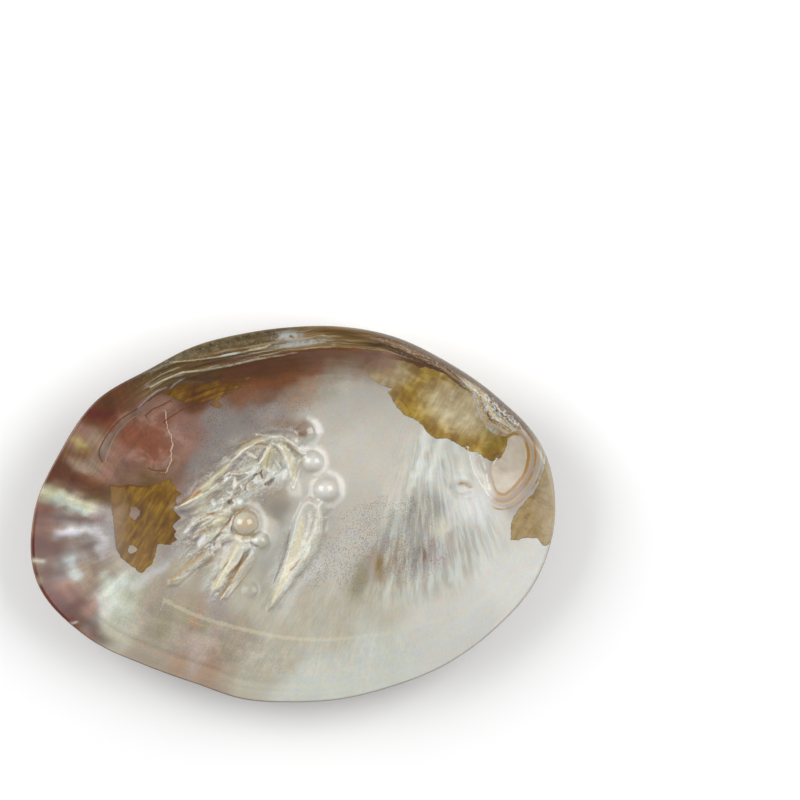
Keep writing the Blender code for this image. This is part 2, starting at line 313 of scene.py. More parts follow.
# %% [markdown]
# ## Scars, pearls and folds
#
# Where the shell-closing muscles sat, the nacre is pressed in. The pearls are balls that sink into the
# surface with a fillet. Their tails are ridges that narrow and flatten. The crumpled fold is a mound
# with sharp creases on it, and small crinkles that run the same way.

# %% Scars, mounds and creases
SCARS = (  # centre, half length across, half length along, turn, depth
    ((61.0, 16.6), 6.0, 9.2, -24.0, 1.0),
    ((48.3, 7.2), 2.6, 2.0, 0.0, 0.6),
    ((-43.6, -3.0), 9.0, 12.5, 8.0, 0.5),
)
MOUNDS = (  # centre, half length, half width, turn, height
    ((-12.5, 12.4), 20.5, 8.2, 33.0, 2.4),
    ((-4.6, 19.6), 7.0, 4.0, 20.0, 1.6),
    ((-3.4, 5.6), 5.4, 5.2, 0.0, 2.2),
    ((-12.8, -4.9), 7.2, 10.0, -12.0, 2.2),
    ((-22.0, -9.6), 1.1, 1.1, 0.0, 0.8),
    ((9.2, 6.6), 5.4, 5.4, 0.0, 1.3),
    ((5.4, 14.6), 4.4, 4.4, 0.0, 0.9),
    ((3.6, 23.2), 4.4, 4.0, 0.0, 0.9),
)
CREASES = (  # path, half width, height
    (((-4.5, 22.0), (-10.0, 20.9), (-15.1, 17.7), (-25.1, 7.7), (-33.1, 2.0)), 1.7, 1.4),
    (((-8.8, 21.8), (-4.5, 22.3), (-0.8, 20.3), (2.6, 17.5)), 1.4, 1.3),
    (((-4.8, 21.2), (-2.2, 16.6), (-1.1, 12.9), (-1.9, 10.0)), 1.5, 1.2),
    (((-17.7, 10.3), (-22.3, 6.9), (-28.3, 2.9), (-33.2, 1.0)), 1.5, 0.9),
    (((-18.3, 0.8), (-23.2, 0.3), (-27.5, -2.3), (-30.6, -5.2)), 1.5, 1.0),
    (((-18.9, -4.6), (-22.6, -6.0), (-25.8, -8.3), (-28.9, -12.1)), 1.5, 0.9),
    (((-12.8, 18.6), (-15.7, 16.6), (-18.3, 13.5), (-20.3, 10.9)), 0.9, 0.8),
    (((-10.3, 12.6), (-13.4, 10.3), (-16.3, 7.5), (-18.3, 4.3)), 1.0, 0.9),
    (((-5.4, 20.9), (-7.6, 17.8), (-9.1, 14.9), (-10.2, 12.6)), 1.0, 1.0),
    (((-19.2, 4.0), (-23.2, 2.0), (-27.7, 0.3), (-32.0, -1.7)), 0.9, 0.7),
    (((-18.6, -1.5), (-23.2, -2.9), (-26.9, -5.5), (-29.8, -8.9)), 0.9, 0.6),
)
print("scars:", len(SCARS), "mounds:", len(MOUNDS), "creases:", len(CREASES))

# %% Tails, blades and pearls
TAILS = (  # path, half width and height where it starts, half width and height where it ends
    (((7.6, 2.8), (6.9, -4.6), (3.4, -11.7), (-1.4, -19.5), (-6.6, -27.2)), 2.6, 2.2, 1.2, 0.3),
    (((-14.0, -8.0), (-17.5, -13.8), (-20.6, -18.9), (-22.9, -22.6)), 2.0, 1.3, 1.3, 0.3),
    (((-10.6, -10.0), (-14.3, -15.5), (-18.0, -21.2), (-20.3, -24.6)), 1.6, 0.9, 1.2, 0.2),
    (((-24.6, -11.5), (-28.9, -14.6), (-32.9, -17.8), (-36.9, -20.9)), 1.6, 0.8, 1.2, 0.2),
)
BLADES = (  # outline of a flat tail, height, width of its sloping edge
    ((
        (2.3, 3.4), (0.0, -1.7), (-1.7, -8.5), (-3.7, -15.6), (-6.2, -23.0), (-7.4, -27.5), (-5.4, -26.9),
        (-1.7, -21.8), (1.4, -17.6), (4.5, -14.5), (7.1, -10.5), (8.5, -6.2), (8.8, -1.4), (7.4, 2.8),
        (4.5, 4.8),
    ), 1.5, 1.8),
    ((
        (-16.4, -8.5), (-12.2, -9.4), (-14.7, -12.8), (-18.1, -17.9), (-20.7, -22.1), (-22.7, -21.8),
        (-21.6, -18.4), (-19.0, -13.3),
    ), 0.9, 0.7),
    ((
        (-11.9, -9.9), (-10.8, -13.3), (-14.2, -19.0), (-18.7, -24.7), (-20.7, -24.1), (-17.6, -18.4),
        (-14.5, -13.3),
    ), 0.6, 0.9),
    ((
        (-24.4, -10.2), (-23.0, -11.9), (-27.2, -15.6), (-32.9, -20.7), (-35.7, -20.7), (-35.7, -18.4),
        (-30.6, -14.5),
    ), 0.6, 0.9),
)
PEARLS = (  # centre, radius, height over the floor, fillet
    ((3.4, 23.4), 2.9, 2.6, 1.4),
    ((5.6, 14.9), 2.9, 3.6, 1.6),
    ((9.3, 7.0), 3.2, 4.6, 1.6),
    ((-13.8, -2.6), 3.4, 6.6, 0.8),
    ((-9.6, -7.7), 2.4, 3.8, 1.2),
    ((-16.3, 2.9), 2.1, 3.4, 1.0),
    ((-12.3, -21.8), 2.2, 0.5, 2.0),
)
print("pearls:", len(PEARLS), "tails:", len(TAILS), "blades:", len(BLADES))

# %% Grow the relief
CREASE_WAVER, CREASE_UNEVEN = 0.5, 0.45  # how far a crease strays, and how unevenly high it is
BALL_SIDE = 4.0  # a ball's side falls this steeply below its middle


def grown_relief(x, y, z):
    """The surface z with scars pressed in and mounds, creases, tails and pearls added."""
    for scar in SCARS:
        z = z - scar[4] * np.exp(-(in_ellipse(x, y, *scar[:4]) ** 6))
    for mound in MOUNDS:
        z = z + mound[4] * np.exp(-(in_ellipse(x, y, *mound[:4]) ** 3))
    for number, (path, half_width, height) in enumerate(CREASES):
        bent_x, bent_y = x + CREASE_WAVER * wander(x, y, 3.0, 61), y + CREASE_WAVER * wander(x, y, 3.0, 62)
        distance, _, _ = along_path(bent_x, bent_y, path)
        crest = np.exp(-1.7 * (distance / half_width) ** 1.3)
        z = z + height * (1.0 + CREASE_UNEVEN * wander(x, y, 3.6, 70 + number)) * crest
    for path, wide, high, narrow, low in TAILS:
        distance, along, _ = along_path(x, y, path)
        z = z + (high + along * (low - high)) * rounded(distance, wide + along * (narrow - wide))
    for outline, height, edge in BLADES:
        climb = np.clip(inside_outline(x, y, outline) / edge + 0.3, 0.0, 1.0)
        z = z + height * climb * climb * (3.0 - 2.0 * climb)
    for centre, radius, height, fillet in PEARLS:
        distance = np.hypot(x - centre[0], y - centre[1])
        ball_middle = bowl(np.array(centre[0]), np.array(centre[1])) + height - radius
        cap = np.sqrt(np.maximum(radius**2 - distance**2, 0.0))
        ball = ball_middle + np.where(distance < radius, cap, -BALL_SIDE * (distance - radius))
        z = higher_of(z, ball, fillet)
    return z


plain = bowl(middle, middle)
print("relief in the middle, mm:", round(float((grown_relief(middle, middle, plain) - plain)[0]), 2))

# %% [markdown]
# ### Marks
#
# The fold and the hinge have wrinkles of their own: crests with painted highlights, brown creases,
# painted shade in hollows and along edges, and painted cold glints. Each is a short stroke with a half
# width, like a stroke of a fine brush. A crest stands up and a crease is sunk, and the same stroke later
# colours it, so that the colour always sits on the relief.

# %% First strokes on the fold and the hinge
FIRST_MARKS = {  # colour, height, then paths with their half widths, all in millimetres
    "cream": ((206, 197, 164), 0.25, (
        (((-6.5, 18.6), (-7.3, 16.1), (-7.9, 13.2)), 1.6),
        (((-8.8, 21.8), (-11.6, 20.3), (-14.2, 18.9), (-16.2, 17.2)), 0.8),
        (((-3.3, 20.1), (-1.3, 16.9), (0.1, 13.2), (0.1, 9.8)), 0.9),
        (((-18.5, 13.9), (-21.1, 11.4), (-23.7, 9.1), (-26.2, 6.8)), 0.9),
        (((-15.9, -9.1), (-18.2, -13.1), (-20.2, -16.8), (-22.5, -21)), 1.7),
        (((2.8, -1.1), (1.2, -8.8), (-2, -17.6), (-5.6, -24.5)), 1.3),
        (((-19.9, -1.1), (-22.5, -2.8)), 1.2), (((-23.6, 8.1), (-27.6, 5.2), (-31.3, 2.9)), 0.8),
        (((-18.7, -6.2), (-16.2, -6.8), (-13.9, -7.1)), 0.8), (((-31.3, -17), (-34.2, -18.8)), 0.45),
        (((-17.9, 11.5), (-15, 11.3), (-12.8, 11.8)), 0.3),
        (((-34.7, 43.2), (-27.6, 43.9), (-20.5, 44.9), (-13.3, 46.3), (-5.9, 48.3)), 0.28),
        (((-12.2, 46.7), (-9.3, 47.2), (-7, 47.7)), 0.45), (((2.9, 16.1), (1.5, 14.6), (0.7, 12.3)), 0.4),
    )),
    "tan": ((172, 148, 108), -0.1, (
        (((-13, -11.9), (-14.8, -14.8), (-16.7, -17.9), (-19, -21.3), (-20.7, -23.9)), 0.9),
        (((-25.3, -11.6), (-28.2, -13.3), (-31.6, -15.9), (-35.6, -19.6)), 0.7),
        (((-17.2, -1.1), (-17.2, -3.6), (-15.6, -5.6), (-13, -5.9), (-11, -4.8)), 0.4),
        (((-16.5, 0.4), (-13.9, 1.1), (-11.3, 0.1)), 0.35), (((6.2, -0.5), (5.0, -4.1), (3.8, -8.2)), 0.25),
        (((-2.8, 20.9), (-0.8, 19.2), (1.2, 17.5), (2.7, 16.3)), 0.4),
        (((-16.2, 19.8), (-13.6, 20.9), (-11.3, 21.8), (-8.5, 22.1)), 0.4),
        (((-31, -13.1), (-34.4, -16.2), (-37.6, -19.9)), 0.22),
        (((-6.5, 17.8), (-7.3, 14.9), (-7.6, 12.9)), 0.3),
        (((-22.5, 0.5), (-24.7, -0.2), (-27.6, -0.8)), 0.25),
        (((-23, -3.3), (-25.3, -4.8), (-27.6, -5.9)), 0.5),
        (((-11.6, -5.8), (-13, -6.6), (-14.8, -7.2)), 0.4),
        (((-17.6, -23), (-15, -19.6), (-12.2, -16.2)), 0.25),
        (((-40.7, -24.5), (-34.4, -24.8), (-29.3, -26.2), (-24.7, -27.9), (-19, -29)), 0.18),
        (((-39.3, -26.7), (-35, -27.6), (-30.7, -29.6), (-26.5, -31.6), (-15, -33.6)), 0.22),
    )),
    "ochre": ((160, 118, 56), -0.25, (
        (((-11, 19.8), (-9, 20.1), (-6.8, 19.5)), 0.4), (((-26.2, 6.6), (-27.6, 5.8), (-29.3, 4.6)), 0.6),
        (((-29.3, 4.6), (-31, 3.6), (-33, 2.4)), 0.35),
        (((-14.2, 1.5), (-15.3, 0.6), (-16.5, -0.2), (-17.6, -1.4), (-19, -3.1), (-20.7, -4.8)), 0.4),
        (((-17.9, 0.2), (-20.2, 0.5), (-22.7, 0.2), (-24.7, -0.5), (-27, -1.9)), 0.35),
        (((-13.8, -10.8), (-14.8, -13.1), (-15.7, -14.8), (-17.6, -16.5), (-19.3, -18.5)), 0.3),
        (((2.1, -12.8), (0.9, -14.5), (-0.8, -16.2)), 0.35),
    )),
    # grey lilac marks, partly painted shade in hollows and along the edges of the fold and the long blade
    "grey": ((138, 130, 128), -0.3, (
        (((-17.3, 10.6), (-15.3, 10.3), (-13.3, 11.2)), 0.9),
        (((-7.9, 18.6), (-8.8, 16.9), (-9.9, 15.2)), 0.6),
        (((-20.2, -5.1), (-21.9, -6.5), (-22.7, -8.2), (-22.2, -9.9)), 0.4),
        (((-20.2, -8.8), (-17.9, -8.2)), 0.8), (((-12.2, -8.2), (-11, -9.1), (-9.9, -9.3)), 0.5),
        (((-32.2, 0.9), (-29.3, -0.8)), 0.9), (((-13.9, 20.9), (-11.6, 22), (-9.6, 23)), 0.3),
        (((-1.1, -5.1), (-1.9, -9.6), (-3.3, -14.2), (-5.6, -19.6)), 0.35),
        (((-32.7, -17.9), (-29.9, -16.2)), 0.45),
        (((0.9, 22.9), (-1.1, 23.6), (-3.9, 23.9), (-7.9, 23.6)), 0.6), (((-13, 7.8), (-13.9, 6.6)), 0.5),
        (((-26.5, 5.8), (-24.2, 6.9), (-22.2, 7.8)), 0.25), (((-25, -3.6), (-23.3, -4.8)), 0.3),
        (((-18.5, -13.6), (-20.7, -16.2), (-22.7, -19)), 0.3),
    )),
    # dark brown of the hinge's layers and of brown spots, and partly painted shade beside the crests
    "umber": ((84, 58, 38), -0.35, (
        (((-25, 43.2), (-19.3, 44), (-14.2, 44.6), (-9.9, 45.3)), 1.0),
        (((-31, 38.6), (-25, 38.2), (-20.5, 38.9)), 0.9), (((-9.9, 51.3), (-5, 52.1), (-0.8, 52.6)), 0.3),
        (((-31.6, 41.7), (-27.6, 42.2), (-24.7, 42.9)), 0.5),
        (((-7.9, 8.5), (-6.5, 8.9), (-5.6, 10.1)), 0.8), (((-33.3, 2.5), (-31, 4.1), (-29, 5.8)), 0.2),
        (((-8.9, 12.6), (-9.3, 11.5), (-8.8, 10.1)), 0.35),
        (((-11.6, 9.8), (-11, 11.1), (-9.3, 11.9)), 0.3), (((-18.5, 3.5), (-17.3, 3.1)), 1.0),
        (((25, 48.6), (32.3, 45.9), (39.2, 42.1), (47.2, 38.5)), 0.35),
    )),
}
print("first strokes:", ", ".join(FIRST_MARKS))

# %% Last strokes on the fold and the hinge
LAST_MARKS = {  # these lie over the first ones, where they cross
    # painted highlight along the crest of the inner long tooth
    "crest": ((178, 176, 154), 0.35, (
        ((
            (-40.3, 36), (-37, 38), (-34, 39.3), (-31, 40.5), (-26, 40.9), (-22.2, 41.5), (-18.5, 42.2),
            (-14.8, 43), (-11.2, 43.9), (-7.3, 44.6), (-3.2, 45.2), (2.1, 46.3),
        ), 0.32),
    )),
    # painted highlights along the fold's crests and the blades' edges, and painted glints
    "white": ((226, 222, 208), 0.35, (
        ((
            (-10.5, 22.8), (-8.5, 22.5), (-5, 22.3), (-3.3, 22.3), (-1.6, 21.2), (0.4, 19.8), (1.8, 18.8),
            (3.8, 18.6),
        ), 0.32),
        ((
            (-5.9, 20.3), (-4.2, 19.5), (-3.1, 18.1), (-2.2, 16.3), (-1.3, 14.3), (-0.8, 12.3),
            (-0.6, 10.3),
        ), 0.55),
        (((-7, 19.2), (-7.9, 17.8), (-8.6, 16.3), (-9.6, 14.6)), 0.28),
        (((-11.6, 19.5), (-13.3, 18.9), (-14.8, 17.8), (-15.6, 16.6), (-17.6, 15.2)), 0.4),
        (((-17.9, 12.1), (-19, 11.2), (-19.6, 10.6)), 0.35), (((-21.9, 8.2), (-23.9, 6.9)), 0.28),
        (((-25.6, 5.8), (-27.9, 4.4), (-30.4, 3.1), (-32.7, 2.1)), 0.35),
        (((-0.8, 8.6), (0.1, 7.2), (0.8, 9.5), (1.5, 11.2), (1.9, 12.6)), 0.32),
        (((-15, 8.6), (-14.8, 7.5), (-14.2, 6.6)), 0.28),
        (((-12.8, 8.6), (-13.2, 7.5), (-12.6, 6.4)), 0.32),
        (((-16.7, 10.1), (-16.5, 8.6), (-17, 7.2)), 0.55),
        (((-13.3, 17.5), (-12.2, 16.9), (-10.5, 16.1)), 0.5),
        (((-20.2, 4.6), (-19.9, 3.2), (-20.5, 1.8), (-22.5, 0.9), (-24.7, 0.4)), 0.32),
        (((-29, -3.6), (-27.6, -2.5), (-25.9, -1.6), (-23.6, -0.9), (-20.7, -0.8)), 0.28),
        (((-23, -1.4), (-25, -2.5), (-26.7, -3.6)), 0.45),
        (((-17, -0.5), (-17.6, -1.9), (-18, -3.9), (-18.5, -5.6)), 0.28),
        (((-14.2, -9.9), (-15, -11.9), (-16, -13.8), (-17.6, -15.3), (-19.3, -17.3)), 0.35),
        (((-17.3, -19.9), (-19, -21.9), (-20.7, -24.5)), 0.2),
        (((4.7, -9.6), (4.1, -11.6), (3.2, -13.3)), 0.4), (((-5, 15.2), (-3.6, 12.9)), 0.3),
        (((-21, -4.5), (-22.7, -6.5), (-24.2, -7.9)), 0.28), (((-19, 6.4), (-17.9, 5.9)), 0.4),
        (((-20.5, -7.3), (-19, -6.3), (-17.6, -5.8)), 0.35), (((-2.5, 19.2), (-0.8, 17.8)), 0.3),
    )),
    "steel": ((156, 152, 154), 0.1, (
        (((-44.1, 30), (-40.4, 33.5), (-38.2, 35.2), (-35.3, 36.3)), 0.3),
        (((-2.5, 48.9), (2.1, 48.3), (6.7, 48.6)), 0.3),
        (((-30.4, 38.9), (-33.3, 37.2), (-35, 35.5)), 0.25),
    )),
    # painted glints: cold white spots on the fold and the hinge
    "cold": ((212, 217, 218), 0.1, (
        (((-13.3, 11.8), (-11.6, 12.2), (-9.9, 11.8)), 0.4), (((-19.6, 9.5), (-18.5, 10.6)), 0.4),
        (((-23, 4.1), (-22.5, 2.4)), 0.8), (((-15.9, 4.1), (-14.8, 2.9)), 0.8),
        (((-25.3, -6.2), (-27, -8.8)), 0.9), (((-10.8, 10.3), (-10.5, 8.9)), 0.9),
        (((-0.5, -18.5), (-1.3, -20.2), (-2.5, -21.9)), 0.5), (((-29.6, -4.2), (-31, -5.3)), 0.45),
        (((-20.5, 45), (-17.3, 45.6), (-14.2, 46.2)), 0.35),
    )),
}
MARKS = {**FIRST_MARKS, **LAST_MARKS}


def mark_distance(x, y, path, half_width):
    """Distance to a stroke in half widths, which get smaller towards its ends."""
    distance, share, _ = along_path(x, y, path)
    return distance / (half_width * (0.4 + 0.6 * np.sqrt(np.sin(math.pi * np.clip(share, 0.02, 0.98)))))


def nearest_mark(x, y, name):
    return np.min([mark_distance(x, y, *mark) for mark in MARKS[name][2]], axis=0)


def mark_relief(x, y):
    return sum(height * np.exp(-(nearest_mark(x, y, name) ** 2)) for name, (_, height, _) in MARKS.items())


print("strokes:", sum(len(marks) for _, _, marks in MARKS.values()))

# %% [markdown]
# ### Crinkles
#
# Nacre laid over shrinking tissue puckers. The crinkles are folded random hills, stretched along the
# way the fold runs, and they fade out at its edge and on the smooth balls.

# %% Crinkles on the fold and on the tails
CRINKLE_FANS = (  # where the crinkles start; the area they fill, as centre, half sizes and turn; height
    ((-1.5, 30.0), ((-13.0, 11.8), 20.6, 8.2, 33.0), 0.50),
    ((-7.0, 4.5), ((-24.5, -4.5), 11.5, 6.5, 35.0), 0.38),
    ((-6.0, 8.0), ((-18.0, -15.0), 11.5, 4.4, 58.0), 0.22),
    ((-9.0, 2.0), ((-30.0, -15.5), 9.0, 3.4, 38.0), 0.25),
    ((16.0, 38.0), ((1.5, -10.0), 16.0, 4.4, 68.0), 0.20),
)
FAN_WIDTH = 18.0  # millimetres of width to a radian of the fan
SMOOTH_BALL = 2.0  # pearls that stand higher than this have no crinkles


def crinkles(x, y):
    """Folded random hills that run outwards from a few points."""
    total = np.zeros(x.shape)
    bend_x, bend_y = 1.1 * wander(x, y, 5.0, 21), 1.1 * wander(x, y, 5.0, 22)
    for start, area, height in CRINKLE_FANS:
        dx, dy = x + bend_x - start[0], y + bend_y - start[1]
        reach, across = np.hypot(dx, dy), FAN_WIDTH * np.arctan2(dx, -dy)
        broad = 1.0 - 2.4 * np.abs(wander(reach, across * 1.9, 8.0, 5))
        narrow = 1.0 - 2.4 * np.abs(wander(reach, across * 2.4, 4.4, 9))
        tiny = wander(reach * 0.7, across * 1.8, 1.5, 13)
        inside_area = np.exp(-(in_ellipse(x, y, *area) ** 6))
        total += height * (0.62 * broad + 0.40 * narrow + 0.20 * tiny) * inside_area
    for centre, radius, height, _ in PEARLS:
        clear = np.clip(np.hypot(x - centre[0], y - centre[1]) - 0.9 * radius, 0.0, 1.0)
        total = total * (clear if height > SMOOTH_BALL else 1.0)
    return total


def inside(x, y):
    return grown_relief(x, y, hinge(x, y, bowl(x, y))) + crinkles(x, y) + mark_relief(x, y)


def top(x, y):
    """The upper surface out to the outermost line, with the lip rounded over."""
    share, angle = polar(x, y)
    start = lip_start(angle)
    pull = np.minimum(share, start) / np.maximum(share, 1e-9)
    inner = inside(x * pull, y * pull)
    f = np.clip((share - start) / (1.0 - start), 0.0, 1.0)
    edge = edge_height(x, y, angle)
    return edge + (inner - edge) * np.sqrt(np.maximum(1.0 - f**2, 0.0))


# %% [markdown]
# ## The mesh
#
# A polar grid would have a pole in the middle of the pearls. A square grid, bent so that its border is
# the margin, has none. Its lines are packed closer where the pearls are. The lip gets rings of its own,
# and the outside takes every second line, joined to the same rim.

# %% Grids
COLUMNS, ROWS = 300, 240
FINE_COLUMNS = (-0.14, 0.34, 1.3)  # middle and half width of the fine band, and its gain
FINE_ROWS = (0.18, 0.80, 0.5)
LIP_RINGS = 5


def spaced(count, fine_band):
    """Grid lines from -1 to 1, closer together inside the fine band."""
    centre, half_width, gain = fine_band
    fine = np.linspace(-1.0, 1.0, 801)
    density = 1.0 + gain * np.exp(-(((fine - centre) / half_width) ** 4))
    total = np.concatenate([[0.0], np.cumsum(0.5 * (density[1:] + density[:-1]))])
    return np.interp(np.linspace(0.0, total[-1], count + 1), total, fine)


def disc_grid():
    """Share and angle at each crossing of a square grid bent into a disc."""
    u, v = np.meshgrid(spaced(COLUMNS, FINE_COLUMNS), spaced(ROWS, FINE_ROWS), indexing="ij")
    x, y = u * np.sqrt(1.0 - v**2 / 2.0), v * np.sqrt(1.0 - u**2 / 2.0)
    return np.hypot(x, y), np.arctan2(y, x)


def grid_rim(columns, rows):
    """The grid's outer crossings in order, anticlockwise."""
    bottom = [(i, 0) for i in range(columns)]
    right = [(columns, j) for j in range(rows)]
    upper = [(i, rows) for i in range(columns, 0, -1)]
    left = [(0, j) for j in range(rows, 0, -1)]
    return bottom + right + upper + left


def top_grid():
    share, angle = disc_grid()
    radius = outline_radius(angle) * lip_start(angle) * share
    x, y = radius * np.cos(angle), radius * np.sin(angle)
    return x, y, top(x, y), angle


print("inside grid:", COLUMNS, "by", ROWS, "cells")


# %% Join the surfaces into one closed shell
def build_shell_mesh():
    """The valve's mesh, and how many of its faces belong to the inside and the lip."""
    x, y, z, angle = top_grid()
    points = np.column_stack([x.ravel(), y.ravel(), z.ravel()]).tolist()
    number = np.arange(x.size).reshape(x.shape)
    corners = (number[:-1, :-1], number[1:, :-1], number[1:, 1:], number[:-1, 1:])
    faces = np.stack([corner.ravel() for corner in corners], axis=1).tolist()

    rim = grid_rim(COLUMNS, ROWS)
    turn = np.array([angle[crossing] for crossing in rim])
    ring = [int(number[crossing]) for crossing in rim]
    start, outline = lip_start(turn), outline_radius(turn)
    for k in range(1, LIP_RINGS + 1):
        reach = outline * (start + (1.0 - start) * math.sin(k / LIP_RINGS * math.pi / 2))
        px, py = reach * np.cos(turn), reach * np.sin(turn)
        outer = list(range(len(points), len(points) + len(ring)))
        points += np.column_stack([px, py, top(px, py)]).tolist()
        for n, (a, b) in enumerate(zip(ring, outer)):
            after = (n + 1) % len(ring)
            faces.append((a, b, outer[after], ring[after]))
        ring = outer
    inside_faces = len(faces)

    share, angle = (part[::2, ::2] for part in disc_grid())
    radius = outline_radius(angle) * share
    bx, by = radius * np.cos(angle), radius * np.sin(angle)
    bz = back(bx, by)
    rim = {crossing: 2 * n for n, crossing in enumerate(grid_rim(COLUMNS // 2, ROWS // 2))}
    index = {}
    for i in range(bx.shape[0]):
        for j in range(bx.shape[1]):
            if (i, j) in rim:
                index[i, j] = ring[rim[i, j]]
            else:
                index[i, j] = len(points)
                points.append((bx[i, j], by[i, j], bz[i, j]))
    for i in range(COLUMNS // 2):
        for j in range(ROWS // 2):
            cell = ((i, j), (i, j + 1), (i + 1, j + 1), (i + 1, j))
            face = []
            for here, after in zip(cell, cell[1:] + cell[:1]):
                face.append(index[here])
                if here in rim and after in rim and (rim[here] - rim[after]) % len(ring) == 2:
                    face.append(ring[rim[here] - 1])
            faces.append(face)

    mesh = bpy.data.meshes.new("valve")
    mesh.from_pydata([(px * MM, py * MM, pz * MM) for px, py, pz in points], [], faces)
    mesh.shade_smooth()
    return mesh, inside_faces


valve_mesh, inside_faces = build_shell_mesh()
valve = bpy.data.objects.new("valve", valve_mesh)
bpy.context.scene.collection.objects.link(valve)
print("valve:", len(valve_mesh.vertices), "points,", len(valve_mesh.polygons), "faces")

# %% [markdown]
# ## Colour washes
#
# The inside goes from cream at the open side to rose brown at the back end. The shell's organic layer
# shines through where the nacre is thin. A painter would lay soft dabs of mixed colours, so each colour
# here has a few dabs, given by place and size, and every point takes the average of the dabs around it.

# %% Palette
PALETTE = {  # as seen on a screen
    "cream": (199, 193, 184), "cream shade": (188, 182, 173), "pale cream": (194, 193, 188),
    # "silver reflection" is a painted reflection of a soft box, not a colour of the nacre
    "cool grey": (192, 193, 185), "silver reflection": (198, 196, 190), "warm grey": (178, 172, 158),
    "lilac grey": (156, 146, 140), "mauve": (140, 131, 127), "dusk": (127, 98, 82),
    "stain": (148, 128, 108), "pink beige": (162, 150, 135), "rosy beige": (163, 140, 122),
    "salmon": (146, 111, 98), "salmon red": (136, 86, 66), "rose": (130, 90, 78), "deep rose": (98, 54, 42),
    "plum brown": (102, 68, 50), "red brown": (122, 77, 54), "olive brown": (112, 88, 60),
    "green cream": (172, 172, 154), "rust": (130, 82, 58), "hinge brown": (114, 72, 48),
    "fold cream": (190, 185, 166), "green grey": (150, 142, 122), "lilac veil": (160, 156, 150),
    "olive stain": (140, 116, 78), "dark stain": (124, 100, 86),
}
print("palette:", len(PALETTE), "colours")

